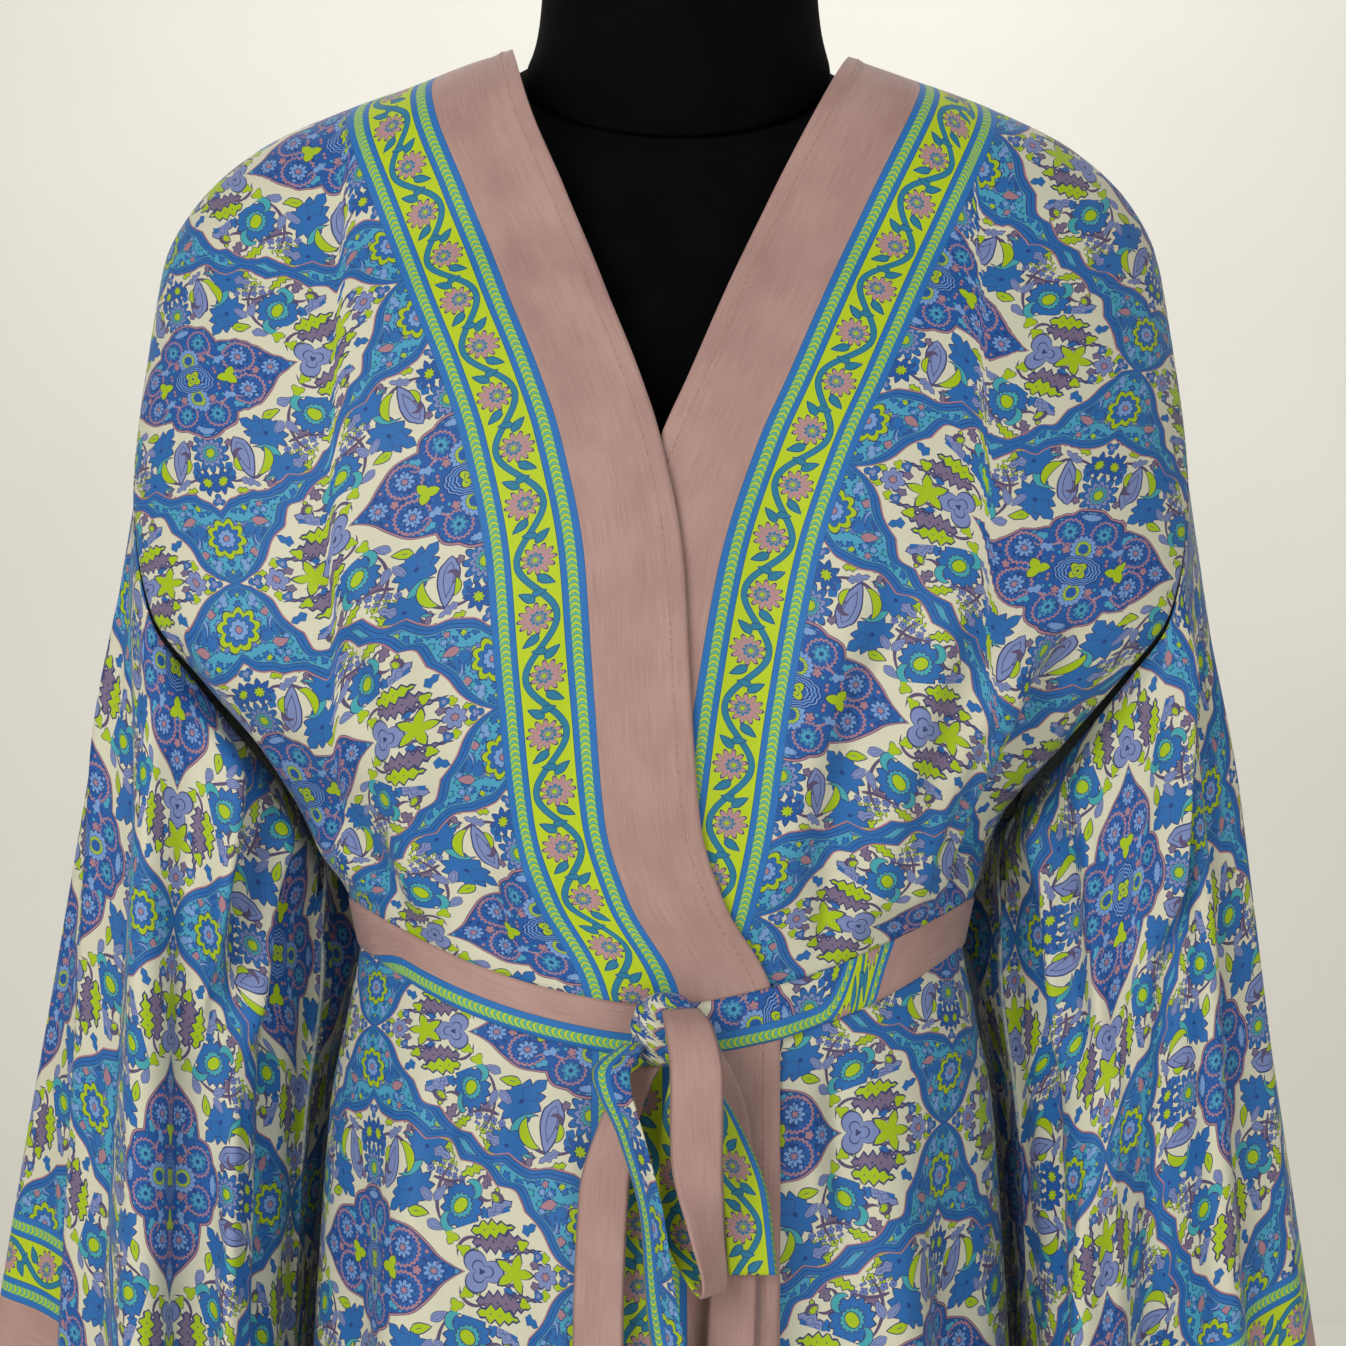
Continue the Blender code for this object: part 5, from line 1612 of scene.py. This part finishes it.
# Dull rose sewing thread
THREAD = clouded_material("sewing_thread", (400.0, 2.0), ".35 thread_dark .7 thread_light", 0.6)
stitch_pieces = [
    add_stitches("stitches_top_front", panel_edges(TOP_FRONT_GRID)),
    add_stitches("stitches_under_front", panel_edges(UNDER_FRONT_GRID)),
    add_stitches("stitches_back", [inset_line(BACK_GRID, outward_normals(BACK_GRID))]),
    add_stitches("stitches_right_cuff", cuff_edge(RIGHT_OPENED, -1.0)),
    add_stitches("stitches_left_cuff", cuff_edge(LEFT_OPENED, 1.0)),
]
print("faces of the stitches:", [len(piece.data.polygons) for piece in stitch_pieces])

# %% [markdown]
# ## The belt
# The belt is a flat strip, rose on one face and printed on the other. It rounds the waist
# on top of the gathered cloth, twisting a little, so both faces show. In front it makes a
# knot, two loops and two tails. Each stretch is a ribbon along listed stations, with a
# rounded cross-section that carries the two faces.

# %% Belt
BELT_WIDTH = 0.021
BELT_THICKNESS = 0.0011
BELT_STAND_OFF = 0.0016
BELT_STEP = 0.012
BELT_ROUND_STEPS = 340
RIBBON_POINTS = 13
RIBBON_SQUARENESS = 8
# Places on the flat cloth of a belt face, from its lower or left rim to the other
PRINT_FACE = (64.0, 43.0)
OUTER_PRINT_FACE = (64.0, 85.0)
KNOT_FACE = (96.0, 75.0)
ROSE_FACE = (8.0, 29.0)
ROSE_MIDDLE = 18.5
# Middle and lean of the part of the cloth that shows beside the knot, and from where to
# where it turns away to the rose face, left and right
TWIST_LEFT = (35.5, -10.5, 0.105, 0.145)
TWIST_RIGHT = (77.5, 10.5, 0.060, 0.105)

KNOT_CENTRE = (0.002, -0.1150, 1.0185)

Station = namedtuple("Station", "x y z turn width")
FRONT_LOOP = [
    Station(8, -120.8, 1027, 14, 15),
    Station(11, -131, 1022, -6, 19),
    Station(14, -142, 1004, -14, 21),
    Station(14, -146, 976, 0, 20),
    Station(18, -147, 945, 42, 18),
    Station(21, -146, 926, 56, 18),
    Station(20, -141, 921, 56, 18),
    Station(16, -136, 928, 34, 18),
    Station(9, -129, 950, 0, 18),
    Station(8, -121, 982, 0, 15),
    Station(9, -117.5, 1004.4, 0, 8),
]
SIDE_LOOP = [
    Station(-10.4, -119.6, 1013, -36, 11),
    Station(-19, -129, 1003, -38, 19),
    Station(-11, -139, 980, -55, 20),
    Station(-3, -141, 950, -60, 20),
    Station(1, -141, 915, -50, 20),
    Station(8, -139, 884, -35, 20),
    Station(18, -133, 873, 0, 20),
    Station(26, -126, 884, 6, 20),
    Station(28, -122, 910, 0, 19),
    Station(29, -117, 950, 0, 18),
    Station(27, -112, 985, 0, 15),
    Station(23, -110.3, 1002, 0, 11),
    Station(18.6, -111.8, 1013.5, 50, 7),
]
SHORT_TAIL = [
    Station(8, -119.3, 1008.3, 40, 6),
    Station(16.5, -123.5, 998, 10, 10),
    Station(25, -124, 980, 8, 15),
    Station(33, -125, 955, 3, 18),
    Station(36, -126, 925, 0, 19),
]
LONG_TAIL = [
    Station(-3.6, -114.2, 1004.2, -10, 8),
    Station(-9, -115, 998, -14, 12),
    Station(-16, -119, 983, -16, 16),
    Station(-22, -122, 955, -12, 20),
    Station(-24, -127, 900, -8, 20),
    Station(-23, -130, 840, 5, 20),
    Station(-21, -132, 770, 0, 20),
]


def ribbon_lines(stations, count):
    """The middle line, the across direction and the width along a ribbon."""
    place = np.array([[s.x, s.y, s.z] for s in stations], float) * MM
    run = run_length(place)
    where = np.linspace(0, run[-1], count)
    middle = np.stack([smooth_lookup(run, place[:, axis], where) for axis in range(3)], axis=1)
    turn = np.radians(smooth_lookup(run, [s.turn for s in stations], where))
    width = smooth_lookup(run, [s.width * MM for s in stations], where)
    across = np.stack([np.cos(turn), np.sin(turn), np.zeros(count)], axis=1)
    return middle, across, width


def ribbon_grid(middle, across, width, ahead):
    """Points of a flat tube with rounded edges, and their shares of its half width."""
    out = unit(np.cross(ahead, across))
    shares = np.linspace(-1, 1, RIBBON_POINTS)
    rounds = np.concatenate([shares, shares[::-1]])
    lift = BELT_THICKNESS / 2 * np.sqrt(np.maximum(1 - np.abs(rounds) ** RIBBON_SQUARENESS, 0))
    lift[RIBBON_POINTS:] *= -1
    sideways = across[:, None] * (rounds * width[:, None] / 2)[:, :, None]
    return middle[:, None] + sideways + out[:, None] * lift[:, None], rounds


def ribbon_mesh(name, middle, across, width, faces):
    """An open ribbon: a printed face and a rose face, joined by rounded edges."""
    grid, _ = ribbon_grid(middle, across, width, np.gradient(middle, axis=0))
    outer, inner = [np.linspace(*face, RIBBON_POINTS) for face in faces]
    face = np.concatenate([outer, inner[::-1], outer[:1]])
    run = run_length(middle)[:, None] / MM
    mesh = cloth_mesh(name, grid, np.stack(np.broadcast_arrays(face, run), axis=2))
    turn_outward(mesh, close=True)
    return mesh


def waist_face(line):
    """The part of the flat cloth that shows round the waist: its middle and its lean."""
    x = line[:, 0] - KNOT_CENTRE[0]
    centre = np.full(len(line), ROSE_MIDDLE)
    lean = np.full(len(line), TWIST_RIGHT[1])
    for (middle, slope, start, end), away in ((TWIST_LEFT, -x), (TWIST_RIGHT, x)):
        turned = (1 - smooth_step(start, end, away)) * (away > 0) * (line[:, 1] < 0)
        centre += (middle - ROSE_MIDDLE) * turned
        lean = np.where(turned > 0, slope, lean)
    return centre, lean


def panel_points_at(grid, heights):
    """Points of a panel at a height for each column, read between its level rows."""
    points = [
        points_at(line, line[:, 2], z) for line, z in zip(grid.swapaxes(0, 1), heights)
    ]
    return np.array(points)


def waist_line(rise):
    """A closed line round the tied waist, at a height above the belt's middle."""
    row = int(np.argmin(np.abs(ROWS - BELT_FRONT_HEIGHT)))
    past_edge = UNDER_FRONT_GRID[row, :, 0] > TOP_FRONT_GRID[row, 0, 0] + BELT_STEP
    parts = []
    for grid in (TOP_FRONT_GRID, BACK_GRID[:, 1:-1], UNDER_FRONT_GRID[:, past_edge][:, ::-1]):
        parts.append(panel_points_at(grid, belt_height(grid[row, :, 0]) + rise))
    line = np.concatenate(parts)
    return even_along(np.concatenate([line, line[:1]]), BELT_ROUND_STEPS + 1)[:-1]


def waist_mesh():
    """The round of the belt, pressed a little into the cloth."""
    middle = waist_line(0.0)
    around = np.roll(middle, -1, axis=0) - np.roll(middle, 1, axis=0)
    out = unit(np.stack([-around[:, 1], around[:, 0], np.zeros(len(middle))], axis=1))
    out *= np.sign(np.sum(out[:, :2] * middle[:, :2], axis=1, keepdims=True))
    middle = middle + out * BELT_STAND_OFF
    across = waist_line(BELT_WIDTH / 2) - waist_line(-BELT_WIDTH / 2)
    width = np.linalg.norm(across, axis=1)
    ahead = np.roll(middle, -1, axis=0) - np.roll(middle, 1, axis=0)
    grid, rounds = ribbon_grid(middle, across / width[:, None], width, ahead)
    grid = np.concatenate([grid, grid[:, :1]], axis=1).swapaxes(0, 1)
    closed = np.concatenate([middle, middle[:1]])
    centre, lean = waist_face(closed)
    face = centre + lean * np.append(rounds, rounds[:1])[:, None]
    places = np.stack(np.broadcast_arrays(face, run_length(closed) / MM), axis=2)
    return cloth_mesh("belt_waist", grid, places, flip=True)


def belt_length(line):
    """The length of a stretch of belt, in metres to the millimetre."""
    return round(float(run_length(line)[-1]), 3)


for name, stations, count, faces in (
    ("belt_loop_front", FRONT_LOOP, 120, (ROSE_FACE, PRINT_FACE)),
    ("belt_loop_side", SIDE_LOOP, 150, (OUTER_PRINT_FACE, ROSE_FACE)),
    ("belt_tail_short", SHORT_TAIL, 60, (PRINT_FACE, ROSE_FACE)),
    ("belt_tail_long", LONG_TAIL, 110, (ROSE_FACE, PRINT_FACE)),
):
    middle, across, width = ribbon_lines(stations, count)
    mesh = ribbon_mesh("cloth_" + name, middle, across, width, faces)
    ribbon = add_piece("cloth_" + name, mesh, PRINTED)
    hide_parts(name)
waist = add_piece("cloth_belt_waist", waist_mesh(), PRINTED)
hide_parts("belt_waist")

# %% [markdown]
# ## The knot
# The knot is where the belt wraps round itself once. It looks like a small cushion with
# slanting creases, each crease the edge of one turn. A ball of points whose radius follows
# those creases gives that form, and the print runs round it with the turns.

# %% Knot
KNOT_RADII = (0.0138, 0.0090, 0.0145)
KNOT_RINGS = 48
KNOT_STEPS = 72
KNOT_TURNS = 2.0
KNOT_SLANT = 0.9
KNOT_CREASE = 0.13
KNOT_CREASE_WIDTH = 0.11
KNOT_START = 0.6
KNOT_END = math.pi / 2 * 0.985
KNOT_FULLNESS = 0.8
KNOT_ROUND = 60


def knot_mesh():
    """A cushion of wrapped turns, with the print running along each turn."""
    up = np.linspace(-1, 1, KNOT_RINGS)[:, None] * KNOT_END
    around = np.linspace(0, 2 * math.pi, KNOT_STEPS + 1)[None, :]
    level = np.sin(up)
    turn = (level * KNOT_TURNS + KNOT_SLANT * np.sin(around + KNOT_START)) % 1.0
    crease = 1 - KNOT_CREASE * swell(np.minimum(turn, 1 - turn), 0, KNOT_CREASE_WIDTH)
    flat = np.cos(up) ** KNOT_FULLNESS * crease
    x = KNOT_CENTRE[0] + KNOT_RADII[0] * np.sin(around) * flat
    y = KNOT_CENTRE[1] - KNOT_RADII[1] * np.cos(around) * flat
    z = KNOT_CENTRE[2] + KNOT_RADII[2] * level * np.ones_like(around)
    grid = np.stack([x, y, z], axis=2)
    along = around / (2 * math.pi) * KNOT_ROUND * np.ones_like(up)
    places = np.stack([KNOT_FACE[0] - turn * (KNOT_FACE[0] - KNOT_FACE[1]), along], axis=2)
    return cloth_mesh("cloth_belt_knot", grid[:, :-1], places)


knot = add_piece("cloth_belt_knot", knot_mesh(), PRINTED)
turn_outward(knot.data, close=True)
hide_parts("belt_knot")
print("knot faces:", len(knot.data.polygons))

# %% [markdown]
# ## The dress form
# The form is a hollow moulded torso under a tight black knit cover, with a neck sewn on
# along a slanting seam. Only the chest and the neck show. It is modelled as a stack of
# rings: one circle is extruded upward and scaled to each section in turn, and tipped
# forward near the neck. A subdivision surface then rounds it.

# %% Dress form
Ring = namedtuple("Ring", "height half_width half_depth centre tilt")
TORSO_RINGS = [
    Ring(800, 112, 80, 0, 0),
    Ring(801, 119, 86, 0, 0),
    Ring(812, 127, 91, 0, 0),
    Ring(870, 132, 98, 0, 0),
    Ring(950, 125, 91, 0, 0),
    Ring(1020, 110, 78, -2, 0),
    Ring(1040, 110, 79, -2, 0),
    Ring(1100, 120, 90, -6, 0),
    Ring(1190, 138, 100, -8, 0),
    Ring(1260, 150, 95, -3, 0),
    Ring(1310, 170, 83, 1, 0),
    Ring(1340, 181, 76, 2, 3),
    Ring(1362, 182, 68, 1, 8),
    Ring(1379, 169, 61, 0, 14),
    Ring(1394, 137, 57, -1, 22),
    Ring(1402, 100, 56, -2, 28),
    Ring(1408, 78, 57, -3, 33),
    Ring(1413, 67, 60, -3, 36),
    Ring(1413.6, 61, 55, -3, 36),
]
NECK_RINGS = [
    Ring(1414.4, 62, 57, -3, 36),
    Ring(1416, 67, 62, -3, 36),
    Ring(1423, 65, 60, -2.5, 29),
    Ring(1434, 61.5, 59, -1, 16),
    Ring(1452, 59.8, 58.5, 0, 4),
    Ring(1470, 59, 58, 0, 0),
    Ring(1473, 58, 57, 0, 0),
    Ring(1474, 54, 53, 0, 0),
]
RING_STEPS = 48


def as_piece(obj, name, material, node):
    """Name a modelled object, apply its modifiers and make it stand for a solid."""
    apply_modifiers(obj)
    obj.name = name
    hand_over(obj, material)
    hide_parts(node)
    return obj


def reshape(size, tilt, place):
    """Scale and tip what is selected about a place."""
    bpy.ops.transform.resize(value=size, center_override=place)
    bpy.ops.transform.rotate(value=-math.radians(tilt), orient_axis="X", center_override=place)


def ring_solid(rings):
    """A closed solid: a circle extruded ring by ring, each scaled, moved and tipped."""
    places = [
        np.array([float(neck_shift(ring.height * MM)), ring.centre * MM, ring.height * MM])
        for ring in rings
    ]
    last, start = rings[0], tuple(places[0])
    bpy.ops.object.select_all(action="DESELECT")
    bpy.ops.mesh.primitive_circle_add(
        vertices=RING_STEPS, radius=last.half_width * MM, fill_type="NGON", location=start
    )
    obj = bpy.context.active_object
    bpy.ops.object.transform_apply(location=True, rotation=True, scale=True)
    bpy.ops.object.mode_set(mode="EDIT")
    bpy.ops.mesh.select_all(action="SELECT")
    reshape((1, last.half_depth / last.half_width, 1), last.tilt, start)
    for ring, place, before in zip(rings[1:], places[1:], places):
        bpy.ops.mesh.extrude_region_move(TRANSFORM_OT_translate={"value": tuple(place - before)})
        wide = ring.half_width / last.half_width
        deep = ring.half_depth / last.half_depth
        reshape((wide, deep, deep), ring.tilt - last.tilt, tuple(place))
        last = ring
    bpy.ops.mesh.select_all(action="SELECT")
    bpy.ops.mesh.normals_make_consistent(inside=False)
    bpy.ops.object.mode_set(mode="OBJECT")
    rounding = obj.modifiers.new("rounding", "SUBSURF")
    rounding.levels = rounding.render_levels = 2
    return obj


# Matte black knit: fine ribs, a faint fuzz and a little dust
KNIT = clouded_material(
    "form_cover", (60.0, 4.0), ".35 knit_black .75 knit_grey", 0.92,
    ("TexWave", (900.0, 0.6, 2.0), 0.25, 0.0003),
    **{"Specular IOR Level": 0.05, "Sheen Weight": 0.015},
)
torso = as_piece(ring_solid(TORSO_RINGS), "cover_torso", KNIT, "form_torso")
neck = as_piece(ring_solid(NECK_RINGS), "cover_neck", KNIT, "form_neck")
print("faces of the form:", len(torso.data.polygons) + len(neck.data.polygons))

# %% [markdown]
# ## Cap, pole and base
# A round cap closes the neck. Below, a steel tube carries the form, and a heavy round plate
# keeps it upright. None of them shows in the picture, so they are plain ones of the usual
# kind. Each starts as a cylinder; insets, small lifts and bevels give the rolled rims.

# %% Cap and stand
CAP_MIDDLE = (0.008, 0.0, 1.4743)
CAP_RADIUS = 0.054
BASE_RADIUS = 0.156
BASE_RIM = 0.011
DISC_SIDES = 96
# Further steps of a plate's top: how far in and how much of the rise, as shares
FIRST_LIFT = 0.7
DISC_STEPS = ((0.6, 0.3), (0.3, 0))
SHARP_EDGE = math.radians(40)


def disc(place, radius, height, inset, rise, rim):
    """A round plate: a cylinder with a stepped, slightly raised top and a rounded rim."""
    x, y, z = place
    bpy.ops.object.select_all(action="DESELECT")
    bpy.ops.mesh.primitive_cylinder_add(
        vertices=DISC_SIDES, radius=radius, depth=height, location=(x, y, z + height / 2)
    )
    obj = bpy.context.active_object
    bpy.ops.object.transform_apply(location=True, rotation=True, scale=True)
    top = max(obj.data.polygons, key=lambda face: face.center.z).index
    bpy.ops.object.mode_set(mode="EDIT")
    bpy.ops.mesh.select_all(action="DESELECT")
    bpy.ops.object.mode_set(mode="OBJECT")
    obj.data.polygons[top].select = True
    bpy.ops.object.mode_set(mode="EDIT")
    inner = radius - inset
    steps = [(inner * share, rise * lift) for share, lift in DISC_STEPS]
    for step, lift in [(inset, rise * FIRST_LIFT), *steps]:
        bpy.ops.mesh.inset(thickness=step)
        bpy.ops.transform.translate(value=(0, 0, lift))
    bpy.ops.object.mode_set(mode="OBJECT")
    bevel = obj.modifiers.new("rim", "BEVEL")
    bevel.width = rim
    bevel.segments = 4
    bevel.limit_method = "ANGLE"
    bevel.angle_limit = SHARP_EDGE
    return obj


# Black stove enamel: slightly uneven gloss, fine specks and worn spots
ENAMEL, METAL = [
    clouded_material(
        name, (35.0, 5.0), ".4 enamel_black .8 enamel_worn", roughness,
        ("TexNoise", (None, 900.0, 2.0), 0.08, 0.0002), uneven=0.25,
    )
    for name, roughness in (("cap_enamel", 0.30), ("stand_metal", 0.24))
]
cap = disc(CAP_MIDDLE, CAP_RADIUS, height=0.006, inset=0.006, rise=0.0035, rim=0.002)
as_piece(cap, "neck_cap", ENAMEL, "form_cap")
base = disc((0, 0, 0), BASE_RADIUS, height=BASE_RIM, inset=0.006, rise=0.0028, rim=0.002)
as_piece(base, "base_plate", METAL, "stand_base")
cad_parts["stand_pole"].data.materials.clear()
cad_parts["stand_pole"].data.materials.append(METAL)
print("base plate faces:", len(base.data.polygons))

# %% [markdown]
# ## Stage and light
# The robe was pictured indoors before a pale painted wall, in soft light from the front. A
# broad lamp on the left models the folds, a weaker one on the right opens the shadows, and
# the sky light keeps the deepest folds readable. The wall stands far behind with a lamp of
# its own, so no shadow falls on it, and a weak lamp there lights the back of the robe.

# %% Stage
WALL_PLACE = 3.55
WALL_HEIGHT = 5.0
STAGE_REACH = 8.0


def plane(name, corners):
    """A flat piece of the stage."""
    mesh = bpy.data.meshes.new(name)
    mesh.from_pydata(corners, [], [(0, 1, 2, 3)])
    mesh.materials.append(PLASTER)
    obj = bpy.data.objects.new(name, mesh)
    scene.collection.objects.link(obj)


# Matte paint with a faint roller texture and slow changes of tone
PLASTER = clouded_material(
    "wall_paint", (1.5, 3.0), ".3 wall_dark .7 wall_light", 0.85,
    ("TexNoise", (None, 260.0, 4.0), 0.12, 0.001),
)
ENDS = [(-STAGE_REACH, 0), (STAGE_REACH, 0), (STAGE_REACH, 1), (-STAGE_REACH, 1)]
plane("wall", [(x, WALL_PLACE, share * WALL_HEIGHT) for x, share in ENDS])
plane("floor", [(x, WALL_PLACE if share else -STAGE_REACH, 0) for x, share in ENDS])

Lamp = namedtuple("Lamp", "name place aim size power tint")
LAMPS = [
    Lamp("key", (-1.35, -2.2, 1.85), (0, 0, 1.15), 1.5, 39, (1.0, 0.985, 0.96)),
    Lamp("fill", (1.5, -2.2, 1.15), (0, 0, 1.1), 1.8, 15, (0.97, 0.985, 1.0)),
    Lamp("wall wash", (0.1, 1.4, 3.3), (0, WALL_PLACE, 0.9), 2.6, 58, (1.0, 0.985, 0.955)),
    Lamp("back light", (-0.6, 2.3, 2.2), (0, 0, 1.0), 1.8, 9, (1.0, 0.99, 0.97)),
]
for lamp in LAMPS:
    data = bpy.data.lights.new(lamp.name, "AREA")
    data.size = lamp.size
    data.energy = lamp.power
    data.color = lamp.tint
    light = bpy.data.objects.new(lamp.name, data)
    light.location = lamp.place
    aim = unit(np.array(lamp.aim) - np.array(lamp.place))
    light.rotation_euler = (math.acos(-aim[2]), 0, math.atan2(-aim[0], aim[1]))
    scene.collection.objects.link(light)

world = bpy.data.worlds.new("room")
world.use_nodes = True
sky = world.node_tree.nodes["Background"].inputs
sky["Color"].default_value = (1.0, 0.985, 0.96, 1)
sky["Strength"].default_value = 0.22
scene.world = world
scene.view_settings.view_transform = "Standard"
print("lamps:", len(LAMPS))

# %% [markdown]
# ## The belt's flat size
# The areas measured above are those of the hung cloth. The belt is a strip twice its own
# width, folded along its middle and sewn, and its flat size is worked out here.

# %% Flat size of the belt
waist_flat = (2 * BELT_WIDTH, belt_length(waist_line(0.0)))
